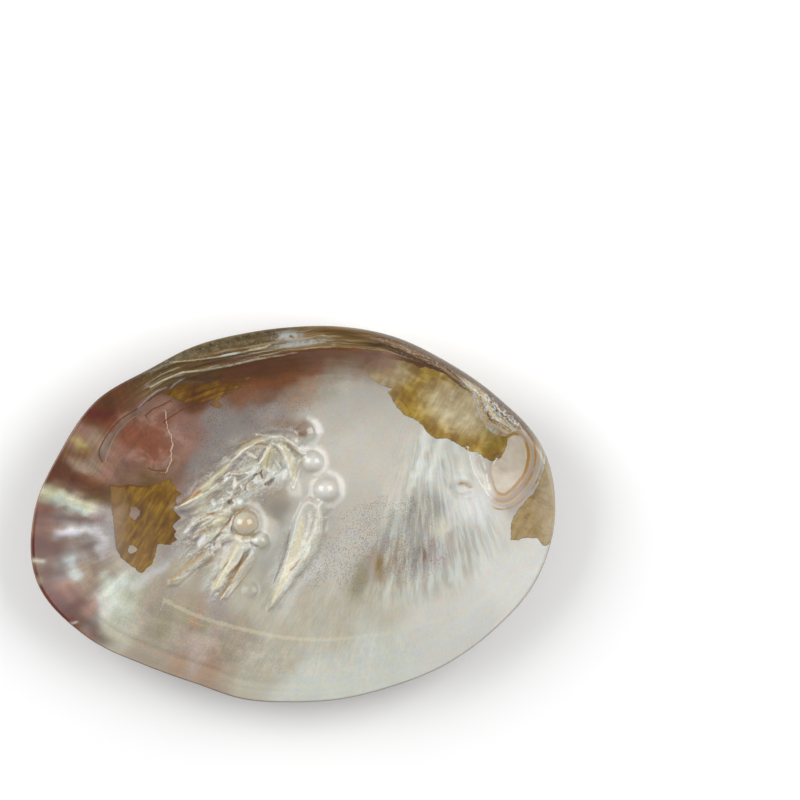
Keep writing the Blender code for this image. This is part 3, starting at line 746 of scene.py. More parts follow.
# %% Dabs
DABS = {  # each is x, y and radius in millimetres
    "cream": ((26, 21, 13), (13, 13, 10), (31, 4, 6), (39, -24, 7), (2, 13, 5), (-14, 18, 4)),
    "cream shade": (
        (11, -2, 7), (16, 33, 8), (16, -13, 7), (22, -2, 7), (8, 27, 6), (59, -3, 5), (46, -19, 5),
    ),
    "pale cream": ((59, -19, 7), (51, -31, 9), (39, -36, 7)),
    "cool grey": ((22, -41, 7), (11, -47, 7), (2, -50, 6), (31, -44, 6)),
    # painted reflection: silvery patches where the walls and tails face a soft box
    "silver reflection": (
        (65, -24, 9), (70, -16, 6), (72, -13, 3), (46, 13, 5), (41, 13, 3), (53, 4, 6), (38, 17, 3),
        (45, 4, 4), (-1, -16, 5), (5, -13, 3), (-18, -13, 4), (-65, 4, 1), (-3, 12, 3), (-18, -15, 2),
        (3, -4, 3), (-1, -19, 2), (-51, -21, 2), (-52, -26, 2),
    ),
    "warm grey": (
        (-1, -39, 6), (13, -33, 6), (25, -25, 6), (5, -25, 5), (-9, -25, 4), (-46, -32, 3), (31, -22, 3),
        (-15, -22, 4), (42, -2, 4), (11, 34, 3), (16, -17, 2), (-12, -46, 4), (-12, 15, 3), (-31, -17, 2),
    ),
    "lilac grey": (
        (64, 5, 2), (42, -10, 5), (-5, 29, 4), (-22, -27, 4), (-32, -9, 2), (-55, -2, 2), (61, 4, 3),
        (-31, 1, 3), (39, -10, 2), (-18, 10, 3), (-28, -8, 2),
    ),
    "mauve": (
        (-57.3, -30.7, 1.6), (-56, -10, 3), (-21, 24, 4), (-12, 24, 4), (-27, 14, 3), (-22, 28, 3),
        (36, -14, 3), (-63, 0, 2), (-66, -17, 2), (-68, 4, 1),
    ),
    "dusk": (
        (-34, 13, 3), (-16, 33, 3), (-8, 34, 3), (-46, 11, 3), (25, 46, 2), (-70, -6, 2), (-72, -17, 2),
        (-63, 8, 2),
    ),
    "stain": ((23, -15, 3), (-58, -17, 3), (-55, 21, 2)),
    "pink beige": (
        (-35, -25, 4), (-41, -26, 4), (-22, 8, 3), (-27, -13, 3), (30, -11, 2), (-18, -40, 6),
        (-26, -34, 5), (-35, -37, 4), (-31, -32, 3), (-42, -36, 3), (-15, -32, 3), (-52, -16, 3),
        (13, 40, 3), (-5, 5, 3),
    ),
    "rosy beige": (
        (2, 33, 4), (4, 37, 3), (17, 42, 2), (-22, -43, 3), (-28, -30, 2), (-32, -41, 2), (-58, 13, 2),
    ),
    "salmon": (
        (-29, 7, 3), (-31, 27, 3), (-29, 21, 3), (-42, 29, 2), (-50, 17, 3), (-38, 31, 2), (-53, 11, 2),
        (-31, 17, 2), (-61, 24, 3), (-69, -21, 2), (-59, -28, 2), (-59, -35, 2), (26, 45, 2),
    ),
    "salmon red": ((-49, 24, 3), (-41, 21, 3), (-38, 17, 2), (-46, 20, 2), (-45, 27, 2)),
    "rose": ((-66, -24, 3), (-70, 1, 2), (18, 44, 2), (-72, -4, 2)),
    "deep rose": ((-56, 28, 3), (-26, 35, 2), (-72, -9, 2), (-63, -27, 2)),
    "plum brown": (
        (-46, 36, 3), (-42, 38, 2), (-51, 33, 2), (-28, 31, 2), (31, 46, 3), (-70, -9, 2), (-66, 13, 3),
        (-60, 10, 2), (-52, 33, 3), (-57, 26, 2),
    ),
    "red brown": ((14, 45, 3),),
    "olive brown": (
        (-41, 11, 2), (-56, 7, 2), (-65, -29, 2), (-62, -32, 2), (-23, 42, 3), (-29, 39, 2), (-34, 37, 2),
        (-37, 37, 2),
    ),
    "green grey": ((-36.4, -31.6, 3), (-30.7, -30.2, 2), (-25, -32.4, 2), (18.4, -17.3, 4)),
    "lilac veil": (
        (33.5, 1.2, 4), (37.8, -1.6, 4), (42, -0.2, 3), (36.3, -5.9, 3), (29.2, -1.6, 2), (26.3, -7.3, 2),
        (47, -7, 3),
    ),
    "olive stain": ((23.8, -14.5, 1.6), (24.2, -16.5, 1.2)),
    "dark stain": ((36.9, -11.0, 1.4), (36.9, -13.0, 1.0)),
    "green cream": ((-49, -24, 3), (-47, -28, 3)),
    "rust": ((8, 42, 3),),
    "hinge brown": (
        (-4, 42, 3), (5, 44, 3), (-12, 40, 2), (-18, 39, 2), (0, 41, 3), (-8, 39, 3), (-19, 37, 2),
        (-2, 38, 2),
    ),
    "fold cream": ((-6, 18, 3), (-25, 5, 2), (-23, -4, 3), (4, -11, 3), (-9, -6, 2)),
}
print("dabs:", sum(len(group) for group in DABS.values()))

# %% Mix the dabs
RUN_STRETCH, RUN_SQUEEZE = 1.5, 1.15  # a dab reaches further the way the colour runs
NEARNESS = 5.0  # beyond this distance, in millimetres, a nearer dab wins over a bigger one
RUN_SOURCE = (30.0, 90.0)  # colours run away from here
REAR_FAN_POINT = (-36.0, -4.0)  # at the back end they run out from here, and so do its flutes
RUN_PULL = 4.0  # how far the hinge and the back end outweigh the rest


def colour_run(x, y):
    """The way in which colours run: along the hinge near it, out to the margin at the back, else down."""
    beside, behind = np.clip((y - 20.0) / 12.0, 0.0, 1.0), np.clip((-x - 46.0) / 8.0, 0.0, 1.0)
    parts = (
        (x - RUN_SOURCE[0], y - RUN_SOURCE[1], 1.0),
        (-y, x, RUN_PULL * beside),
        (x - REAR_FAN_POINT[0], y - REAR_FAN_POINT[1], RUN_PULL * behind),
    )
    total = [sum(part[k] / np.hypot(part[0], part[1]) * part[2] for part in parts) for k in (0, 1)]
    return total / np.hypot(*total)


def dab_shares(x, y):
    """At each point, the share that every dab has in its colour. The shares add up to 1."""
    dabs = [dab for group in DABS.values() for dab in group]
    run = colour_run(x, y)
    weights = []
    for px, py, radius in dabs:
        along, aside = (x - px) * run[0] + (y - py) * run[1], (x - px) * run[1] - (y - py) * run[0]
        square = (along / RUN_STRETCH) ** 2 + (aside * RUN_SQUEEZE) ** 2
        weights.append((1.0 + square / radius**2) ** -2.0 / (1.0 + square / NEARNESS**2) ** 1.5)
    return np.array(weights) / np.sum(weights, axis=0)


def washes(x, y):
    """The dabs' colours, averaged at each point, with wandering borders."""
    wanted = np.array([paint(*PALETTE[name]) for name, group in DABS.items() for _ in group])
    places = np.array([dab[:2] for group in DABS.values() for dab in group], float)
    mixed = np.linalg.lstsq(dab_shares(*places.T).T, wanted, rcond=0.05)[0]
    wx = x + 0.8 * wander(x, y, 5.5, 31) + 0.5 * wander(x, y, 2.1, 32)
    wy = y + 0.8 * wander(x, y, 5.5, 33) + 0.5 * wander(x, y, 2.1, 34)
    return dab_shares(wx, wy).T @ mixed


print("washes in the middle:", np.round(washes(middle, middle)[0], 2))

# %% [markdown]
# ### Gleams
#
# Nacre splits light, so the rose end flashes cream, pale green and lilac in bands that run in from the
# margin. The flashes sit where the surface bends towards a soft box: they are painted reflections, laid
# as soft strokes over the washes. Other strokes paint a reflection on the right wall, shade beside the
# fold, the pearls and the long blade, and highlights on two pearls; the rest are the shell's own colours.

# %% Strokes of colour
STROKES = (  # path, half width, colour, strength
    # the next seven strokes are painted reflections of the right soft box in the back end's wall, tinted
    # cream, pale green and lilac
    (((-71.2, 6.6), (-68.7, 6.1), (-65.0, 5.2), (-61.3, 3.2), (-57.2, 1.3)), 2.2, (214, 212, 178), 0.85),
    (((-66.5, 4.4), (-62.0, 2.4), (-58.0, 0.6)), 1.3, (196, 208, 200), 0.8),
    (((-66.6, -5.6), (-63.2, -4.7), (-58.6, -4.1), (-55.3, -5.2)), 1.5, (206, 205, 212), 0.85),
    (((-74.0, -13.1), (-71.1, -13.4)), 1.0, (208, 206, 188), 0.8),
    (((-73.6, -17.4), (-71.6, -19.0)), 1.0, (205, 200, 160), 0.8),
    (((-63.4, -13.0), (-62.6, -15.5), (-61.4, -17.4)), 1.7, (186, 192, 190), 0.75),
    (((-56.0, -1.0), (-54.6, -6.0), (-54.6, -11.0)), 2.2, (196, 190, 194), 0.8),
    (((-61.4, 21.6), (-59.4, 19.8)), 1.4, (178, 168, 112), 0.75),
    (((47.6, 8.4), (51.2, 8.0)), 0.45, (172, 124, 56), 0.95),
    (((46.6, 6.4), (48.6, 5.6), (51.2, 6.0)), 0.35, (170, 142, 130), 0.7),
    (((46.2, 5.2), (48.6, 4.4), (51.8, 5.0)), 0.35, (178, 152, 140), 0.6),
    (((43.2, 14.9), (44, 11.5), (44.6, 7.5)), 0.7, (172, 168, 160), 0.7),
    (((46.3, 12.1), (50.6, 10.3)), 0.9, (176, 170, 158), 0.6),
    # the next two strokes are a painted reflection of the left soft box on the right wall
    (((52, 4.1), (51.7, 0.2)), 3.0, (210, 210, 214), 0.6),
    (((44, 6.1), (45.5, 0.6), (44.9, -4.5)), 1.2, (206, 204, 202), 0.6),
    (((51.2, 17.8), (52.6, 13.8), (55.2, 8.6)), 2.0, (196, 182, 168), 0.7),
    (((30.1, -13.1), (30.3, -21)), 1.0, (148, 134, 126), 0.6),
    (((34, -15.9), (34.6, -24.5)), 0.8, (176, 176, 172), 0.6),
    # the next three strokes are painted shade: a hollow beside the fold, a shadow beside the pearls, and a
    # thin shadow line beside the long blade
    (((-8.5, 5.2), (-6.5, 2.1), (-4.8, 0.1)), 2.2, (150, 143, 138), 0.7),
    (((-8.8, -1.6), (-7, -8.8), (-8.8, -14.5)), 2.6, (172, 170, 164), 0.6),
    (((-1.9, -5.6), (-3.3, -11.9), (-5.6, -18.2)), 0.9, (160, 156, 148), 0.6),
    (((-60.0, 18.6), (-57.4, 17.6)), 1.2, (150, 120, 70), 0.7),
    (((-69.3, 11.5), (-62.1, 9.5), (-55.0, 7.2)), 2.6, (98, 58, 48), 0.6),
    (((-73.3, 0.4), (-66.4, -0.5), (-59.3, -1.1), (-54.1, -1.4)), 1.5, (112, 80, 74), 0.75),
    (((-74.4, -7.3), (-68.1, -8.5)), 3.4, (96, 52, 38), 0.9),
    (((-73.3, -17.0), (-67.0, -16.5)), 2.5, (98, 56, 44), 0.8),
    (((-62.4, -8.2), (-57.3, -9.6), (-55.8, -11.9)), 1.9, (116, 92, 72), 0.65),
    (((-57.3, -14.8), (-55.8, -18.2), (-57.8, -22.2)), 1.9, (124, 98, 78), 0.6),
    (((-71.0, -21.0), (-66.4, -25.6), (-62.4, -30.2)), 3.2, (94, 48, 42), 0.85),
    (((-60.7, -27.9), (-57.3, -31.6), (-53.3, -35.9)), 2.2, (92, 70, 60), 0.6),
    (((-64.1, 17.8), (-59.0, 16.3)), 1.5, (128, 84, 38), 0.65),
    # painted reflection of the right soft box, pale green
    (((-52.1, -21.6), (-47.9, -18.8)), 2.4, (206, 216, 206), 0.5),
    (((52.9, -6.2), (50.0, -11.9), (43.2, -18.8), (37.5, -21.6)), 5.2, (154, 151, 141), 0.75),
    # the next two strokes are painted shadow: a strip between the pearls and the long blade, and a band just
    # outside the fold's upper left edge
    (((-2.5, 2.6), (-3.9, -4.5), (-6.5, -13.1), (-9.9, -21.6)), 2.4, (146, 142, 136), 0.45),
    (((-32.2, 5.5), (-27.9, 9.5), (-23.9, 12.9), (-19.0, 16.9), (-13.3, 21.2)), 2.0, (128, 118, 112), 0.85),
    (((38.3, 23.5), (36.6, 16.9), (34.3, 9.2)), 1.6, (226, 226, 220), 0.85),
    (((42.0, 22.3), (40.9, 16.6), (39.2, 10.3)), 1.4, (224, 224, 218), 0.8),
    (((33.5, 22.3), (32.3, 16.6), (31.5, 11.5)), 1.3, (208, 206, 196), 0.6),
    (((46.3, 20.1), (48.0, 14.9), (48.9, 9.8)), 1.1, (220, 220, 214), 0.65),
    (((50.0, 19.5), (51.7, 13.8), (54.6, 9.2), (57.4, 5.2)), 1.0, (226, 226, 222), 0.75),
    (((36.3, 21.2), (34.6, 14.9), (32.9, 8.6)), 0.6, (178, 175, 164), 0.6),
    (((40.0, 21.2), (38.6, 14.9), (37.2, 8.6)), 0.6, (180, 177, 168), 0.6),
    (((-16.2, 33.7), (-5.0, 37.7), (6.4, 41.2)), 2.8, (140, 92, 62), 0.6),
    (((10.6, 42.9), (19.8, 44.0)), 2.2, (150, 122, 96), 0.6),
    # painted reflection of the right soft box, pale green
    (((-52.8, -18.6), (-50.4, -23.0), (-49.0, -27.6)), 2.6, (196, 200, 186), 0.7),
    (((-63.0, -31.0), (-60.8, -30.6)), 0.5, (200, 190, 186), 0.7),
    (((-45.0, -20.5), (-40.0, -17.0), (-36.5, -14.6)), 1.6, (196, 196, 198), 0.6),
    (((-54.6, 17.2), (-51.5, 22.2), (-47.6, 27.0), (-43.6, 30.0)), 1.5, (142, 126, 118), 0.7),
    (((-14.3, -2.6), (-13.3, -2.6)), 3.4, (186, 152, 104), 0.97),
    (((-3.6, 25.0), (0.4, 25.4), (3.0, 25.0)), 2.7, (136, 112, 96), 0.8),
    # the next two strokes are painted highlights on the two round pearls
    (((8.9, 7.0), (9.7, 7.0)), 3.2, (228, 228, 226), 0.8),
    (((5.5, 14.9), (6.1, 14.9)), 2.6, (224, 224, 222), 0.75),
    (((1.6, 23.4), (2.8, 23.2)), 1.5, (120, 84, 54), 0.9),
)
print("strokes of colour:", len(STROKES))


# %% Lay the strokes over the washes
DARKEST, LIGHTEST = 0.012, 0.80
# The coat adds a thin haze and the bowl lights itself, so the colours are mixed a little deeper.
GLOSS_HAZE, GLOW = 0.015, 0.93


def stroke_over(colour, x, y, path, half_width, screen_colour, strength):
    bent = x + 0.8 * wander(x, y, 2.4, 41)
    distance, _, _ = along_path(bent, y + 0.6 * wander(x, y, 2.0, 42), path)
    cover = (strength * rounded(distance, half_width))[:, None]
    return colour * (1.0 - cover) + np.array(paint(*screen_colour)) * cover


def inside_colour(x, y):
    colour = washes(x, y)
    for stroke in STROKES:
        colour = stroke_over(colour, x, y, *stroke)
    return np.clip(colour * GLOW - GLOSS_HAZE, DARKEST, LIGHTEST)


print("colour in the middle:", np.round(inside_colour(middle, middle)[0], 2))

# %% [markdown]
# ### Patches and lines
#
# Dried skins of the shell's organic layer lie on the nacre in ochre patches with ragged edges. A crack
# and hairlines cross the back end, and torn lines run beside the muscle scar. Each is kept as a distance
# on the mesh, and the material turns that into a crisp ragged border, finer than the mesh itself.

# %% Outlines of the ochre patches, in millimetres
HINGE_PATCH = (
    (27.1, 35.0), (29.7, 30.7), (31.8, 28.3), (34.4, 27.4), (36.8, 25.7), (38.2, 23.6), (40.6, 21.6),
    (44.0, 21.7), (46.3, 20.5), (49.2, 18.8), (50.4, 17.9), (52.5, 17.9), (54.9, 16.0), (56.8, 15.3),
    (59.1, 15.8), (60.3, 17.9), (61.2, 20.3), (60.9, 22.2), (57.6, 22.7), (54.8, 25.0), (52.8, 28.8),
    (51.4, 33.1), (50.0, 35.9), (46.7, 38.7), (41.9, 40.6), (37.7, 42.1), (33.0, 40.2), (31.6, 37.8),
)
THIN_PATCH = (
    (20.2, 42.3), (22.1, 43.5), (26.8, 44.4), (32.5, 43.5), (36.8, 41.6), (33.0, 38.2), (30.6, 35.8),
    (27.3, 36.2), (24.9, 37.1), (22.3, 38.8), (21.1, 40.7),
)
REAR_PATCH = (
    (-51.9, 8.7), (-49.0, 8.3), (-46.4, 8.6), (-43.6, 7.9), (-39.8, 8.3), (-37.5, 9.5), (-34.9, 10.3),
    (-34.6, 8.6), (-33.0, 7.9), (-33.5, 7.0), (-31.9, 5.8), (-33.6, 4.4), (-33.2, 3.1), (-34.0, 1.2),
    (-32.0, -1.4), (-34.0, -2.6), (-34.4, -3.6), (-33.4, -4.8), (-34.2, -6.0), (-33.0, -7.5), (-35.2, -8.9),
    (-38.8, -8.6), (-39.3, -11.9), (-40.5, -14.5), (-43.4, -17.2), (-45.7, -15.2), (-49.0, -12.6),
    (-50.6, -9.3), (-51.3, -1.4), (-51.9, 3.8),
)
REAR_HOLES = (((-45.3, 0.2), 1.6), ((-45.9, -10.2), 1.2))
BRUSH_PATCH = (
    (-36.6, 34.7), (-34.6, 36.4), (-30.0, 37.1), (-25.3, 37.8), (-20.6, 39.0), (-20.2, 37.4), (-16.4, 37.8),
    (-11.6, 39.3), (-13.6, 38.1), (-16.4, 36.9), (-12.6, 37.1), (-14.1, 36.2), (-19.3, 34.0), (-21.7, 32.1),
    (-19.6, 31.2), (-20.8, 30.2), (-23.1, 30.5), (-23.8, 31.4), (-22.6, 32.6), (-27.3, 31.9), (-30.1, 31.7),
    (-33.4, 32.6),
)
FRONT_PATCH = (
    (62.2, -7.0), (62.2, -2.5), (63.8, 0.8), (66.6, 4.2), (68.9, 6.6), (70.5, 10.4), (71.7, 14.7),
    (72.2, 17.5), (75.0, 14.0), (77.0, 8.1), (77.0, 2.4), (77.0, -2.8), (74.6, -6.1), (72.4, -8.7),
    (71.0, -8.5), (69.9, -6.6), (66.6, -6.4), (63.3, -7.4),
)
PALE_AREAS = (  # where the skin is thin and tan: centre, half length, half width, turn
    ((46.8, 30.6), 10.6, 6.6, -32.0),
    ((-51.0, 0.0), 3.6, 11.0, 0.0),
    ((27.5, 40.5), 8.0, 4.0, 0.0),
    ((72.5, 8.0), 3.6, 8.0, -10.0),
    ((74.5, -4.5), 3.0, 4.0, 0.0),
)
OCHRE_PATCHES = (HINGE_PATCH, THIN_PATCH, REAR_PATCH, BRUSH_PATCH, FRONT_PATCH)
print("patches:", len(OCHRE_PATCHES))

# %% Lines, the scar and the silky area, in millimetres
CRACK = (
    (-36.3, 29.8), (-35.9, 26.9), (-35.7, 24.5), (-34.8, 22.1), (-34.3, 20.2), (-34.8, 17.4), (-34.8, 15.0),
    (-35.8, 13.1), (-36.0, 11.7),
)
HAIRLINES = (
    ((-41.4, 13.3), (-39.8, 12.4), (-36.7, 12.4)),
    ((-41.9, 28.1), (-39.5, 30.2), (-36.7, 31.2), (-34.6, 32.6)),
    ((-36.8, 26.4), (-35.4, 27.4), (-33.0, 28.8), (-31.1, 30.2)),
    ((-54.2, 15.1), (-55.3, 17.9), (-52.7, 22.7), (-48.8, 27.4), (-44.1, 29.8), (-40.3, 33.1), (-36.6, 35.0)),
    ((-52.0, 8.4), (-49.2, 7.7), (-46.4, 8.4), (-43.6, 7.7), (-40.8, 8.0)),
)
FOLD_LINE = ((-53.3, 15.1), (-50.8, 22.2), (-47.0, 26.5), (-44.2, 28.3))
SCAR_OUTLINE = (
    (56.2, 12.5), (57.2, 8.6), (58.2, 6.2), (60.2, 5.4), (62.9, 7.6), (65.9, 11.4), (67.2, 16.0),
    (66.6, 20.3), (64.9, 22.7), (62.6, 23.2), (60.4, 21.6), (58.6, 19.0), (56.8, 16.0),
)
TORN_LINES = (
    ((50, 19.2), (50.6, 16.1), (52, 11.5), (54.6, 7.2), (56.6, 4.6)),
    ((53.7, 16.9), (54.9, 13.2), (55.7, 9.5), (56.3, 6.9)),
    ((56.9, 13.8), (58.3, 16.1)),
)
SILK_AREA = (
    (30.1, 25.5), (37.8, 23.5), (50.6, 18.9), (53.5, 6.9), (61.4, 0.6), (62.9, -7.3), (59.2, -13.6),
    (54.9, -19.3), (48.3, -23.6), (40.6, -26.2), (33.5, -27.3), (24.9, -27.9), (19.2, -21.6), (23.5, -1.6),
    (26.3, 12.6),
)
PALLIAL_LINE = (
    (-36.7, -24.6), (-26.6, -29.5), (-15.2, -32.7), (-2.3, -35.5), (10.6, -36.1), (30.6, -33.5),
    (44.9, -29.2), (57.8, -22.4), (66.1, -13.2),
)
print("hairlines:", len(HAIRLINES), "torn lines:", len(TORN_LINES))


# %% Distances to the patches and lines
def ochre_distance(x, y):
    distance = np.max([inside_outline(x, y, outline) for outline in OCHRE_PATCHES], axis=0)
    for centre, radius in REAR_HOLES:
        ragged = radius * (1.0 + 0.25 * wander(x, y, 1.1, 51))
        distance = np.minimum(distance, np.hypot(x - centre[0], y - centre[1]) - ragged)
    return distance


def nearest_line(x, y, paths):
    """Of the signed distances to several paths, the one nearest to nothing."""
    distances = np.array([line_distance(x, y, path) for path in paths])
    return np.take_along_axis(distances, np.abs(distances).argmin(axis=0)[None], axis=0)[0]


print("the middle is", round(-float(ochre_distance(middle, middle)[0])), "mm from the nearest patch")

# %% [markdown]
# ### From marks to attributes
#
# A mesh can carry named numbers on its points, called attributes, and both Geometry Nodes and materials
# can read them. That suits a grown surface, because a mark then follows the shell whatever its shape.

# %% Soft areas
ZONES = {  # soft areas: centre, half length, half width, turn
    "veil": (((6, -26), 28, 7, 4), ((2, -38), 30, 8, 4)),
    "speck": (
        ((-17, 23), 22, 11, 18), ((28, -8), 15, 10, -20), ((32, 0), 9, 8, 0), ((13, -15), 11, 8, 0),
        ((-26, 13), 9, 6, 30),
    ),
    "rough": (((-26, -30), 16, 3.6, -14), ((-36, -24), 7, 4, -30)),
    "bright": (
        ((-12.4, 11.0), 20.5, 8.0, 33), ((-22, -6), 13, 9, 35), ((-18, -15), 11, 5, 58),
        ((2, -10), 17, 5, 62),
    ),
    "marble": (((-39, 21), 11, 10, 20),),
    "rear": (((-60, -5), 19, 34, 0), ((-52, 30), 16, 12, 45)),
    "ball": (
        ((4, 23), 4, 4, 0), ((5.5, 14.8), 4, 4, 0), ((9.3, 6.9), 5, 5, 0), ((-13.8, -2.6), 4, 4, 0),
        ((-9.6, -7.7), 3, 3, 0),
    ),
    "steel": (((-1.2, 50.8), 4.2, 1.5, 4), ((2.0, 48.6), 8.0, 0.9, 7)),
    "sparkle": (((58, 30.5), 12, 4.2, -42), ((36, 46), 14, 2.6, -22)),
    "cloudy": (((-30, -34), 28, 9, -20), ((-56, -4), 20, 26, 0), ((-10, 36), 34, 7, 10)),
}


def zone(x, y, areas):
    return np.max([np.exp(-(in_ellipse(x, y, *area) ** 4)) for area in areas], axis=0)


print("soft areas:", ", ".join(ZONES))

# %% Halos and hollows


def blurred(field, reach):
    """A grid of numbers, each the mean of those around it."""
    for axis in (0, 1):
        padded = np.concatenate([field.take([0] * reach, axis), field, field.take([-1] * reach, axis)], axis)
        size = field.shape[axis]
        field = sum(padded.take(range(k, k + size), axis) for k in range(2 * reach + 1)) / (2 * reach + 1)
    return field


# painted highlights: pale half rings at the right sides of four pearls
HALOS = (((3.4, 23.4), 4.2), ((5.6, 14.9), 3.6), ((9.3, 7.0), 5.0), ((-13.8, -2.6), 5.8))  # centre, radius
HOLLOW_REACH = 4  # grid lines to each side, over which a crease is compared
SILK_FADE = 6.0  # the silky lines fade in over this distance from their outline


def halo_distance(x, y):
    """Distance to the painted highlights, pale half rings at the pearls' right sides."""
    rings = []
    for centre, radius in HALOS:
        reach = np.hypot(x - centre[0], y - centre[1])
        rings.append(np.abs(reach - radius) + np.clip(0.2 * reach - (x - centre[0]), 0.0, 9.0))
    return np.min(rings, axis=0)


def hollows():
    """How far each point of the inside lies over the mean of what is around it."""
    x, y, z, _ = top_grid()
    relief = z - bowl(x, y)
    return (relief - blurred(relief, HOLLOW_REACH)).ravel()


print("halos:", len(HALOS), "and hollows within", HOLLOW_REACH, "grid lines")


# %% Write the attributes
def write_attributes(mesh):
    place = np.empty(3 * len(mesh.vertices))
    mesh.vertices.foreach_get("co", place)
    x, y = place.reshape(-1, 3).T[:2] / MM
    share, angle = polar(x, y)
    plate, _, _ = along_path(x, y, PLATE_EDGE)
    outward = np.where(share > plate_share(angle), plate, -plate)
    crease, inner = np.zeros(x.size), hollows()
    crease[: inner.size] = inner
    numbers = {
        "share": share,
        "lip": np.clip((share - lip_start(angle)) / (1.0 - lip_start(angle)), 0.0, 1.0),
        "beak": beak_share(angle),
        "crease": crease,
        "plate": outward,
        "ochre": ochre_distance(x, y),
        "pale": zone(x, y, PALE_AREAS),
        "crack": line_distance(x, y, CRACK),
        "hairline": nearest_line(x, y, [smoothed(path) for path in HAIRLINES]),
        "fold": line_distance(x, y, smoothed(FOLD_LINE)),
        "scar": inside_outline(x, y, smoothed(SCAR_OUTLINE, closed=True)),
        "pallial": line_distance(x, y, smoothed(PALLIAL_LINE)),
        "torn": nearest_line(x, y, TORN_LINES),
        "halo": halo_distance(x, y),
        "silk": np.clip(inside_outline(x, y, SILK_AREA) / SILK_FADE, 0.0, 1.0),
        "tooth": nearest_line(x, y, [smoothed(tooth[0]) for tooth in TEETH[:2]]),
    }
    numbers.update({name: zone(x, y, areas) for name, areas in ZONES.items()})
    numbers.update({name + " marks": nearest_mark(x, y, name) for name in MARKS})
    for name, values in numbers.items():
        mesh.attributes.new(name, "FLOAT", "POINT").data.foreach_set("value", values)
    colour = np.column_stack([inside_colour(x, y), np.ones(x.size)])
    mesh.attributes.new("wash", "FLOAT_COLOR", "POINT").data.foreach_set("color", colour.ravel())
    outside = np.arange(len(mesh.polygons)) >= inside_faces
    mesh.attributes.new("outside", "BOOLEAN", "FACE").data.foreach_set("value", outside)
    return sorted(numbers)


print("attributes:", ", ".join(write_attributes(valve_mesh)))

# %% [markdown]
# ## A short way to write node trees
#
# Both kinds of node tree are wired from Python. One small class wraps a socket, so that a sum of two
# sockets adds a Math node, and one method adds any other node.

# %% Sockets as values


class Flow:
    """What comes out of a node's socket."""

    def __init__(self, socket):
        self.socket = socket

    def add(self, kind, settings=None, values=None, output=0):
        """Adds a node to the same tree: its type, its settings, and its sockets' values or links."""
        return add_node(self.socket.id_data, kind, settings, values, output)

    def math(self, operation, first, second=0.0, third=0.0):
        return self.add("ShaderNodeMath", {"operation": operation}, {0: first, 1: second, 2: third})

    def __add__(self, other):
        return self.math("ADD", self, other)

    def __sub__(self, other):
        return self.math("SUBTRACT", self, other)

    def __rsub__(self, other):
        return self.math("SUBTRACT", other, self)

    def __mul__(self, other):
        return self.math("MULTIPLY", self, other)

    def __pow__(self, other):
        return self.math("POWER", self, other)

    __radd__, __rmul__ = __add__, __mul__

    def size(self):
        return self.math("ABSOLUTE", self)

    def at_least(self, other):
        return self.math("MAXIMUM", self, other)

    def rise(self, low, high):
        """0 below low and 1 above high, with a soft climb between them. Falls if low is over high."""
        if low > high:
            return 1.0 - self.rise(high, low)
        settings = {"interpolation_type": "SMOOTHSTEP"}
        return self.add("ShaderNodeMapRange", settings, {0: self, 1: low, 2: high, 3: 0.0, 4: 1.0})


def add_node(tree, kind, settings=None, values=None, output=0):
    node = tree.nodes.new(kind)
    for name, setting in (settings or {}).items():
        if name == "stops":
            ramp = node.color_ramp.elements
            while len(ramp) < len(setting):
                ramp.new(1.0)
            for stop, (place, colour) in zip(ramp, setting):
                stop.position, stop.color = place, (*colour[:3], 1.0)
        else:
            setattr(node, name, setting)
    for key, value in (values or {}).items():
        if isinstance(value, Flow):
            tree.links.new(value.socket, node.inputs[key])
        else:
            node.inputs[key].default_value = value
    return Flow(node.outputs[output])


print("a socket can be used with + - * and **")

# %% [markdown]
# ## Growth rings on the outside
#
# A mussel adds to its margin year by year, so its back is stepped with rings that follow the margin.
# They follow a rule, so Geometry Nodes cut them: each ring is a slope with a small step, and its depth
# comes from the share that each point carries. The same tree roughens a band inside, and gives the two
# sides their materials.

# %% The growth tree
nacre = bpy.data.materials.new("nacre")
skin = bpy.data.materials.new("outer skin")
GROWTH_SIZES = {
    "Ring depth": 0.22 * MM, "Ring count": 26.0, "Waver": 0.035, "Grain height": 0.16 * MM, "Seed": 4.0,
}


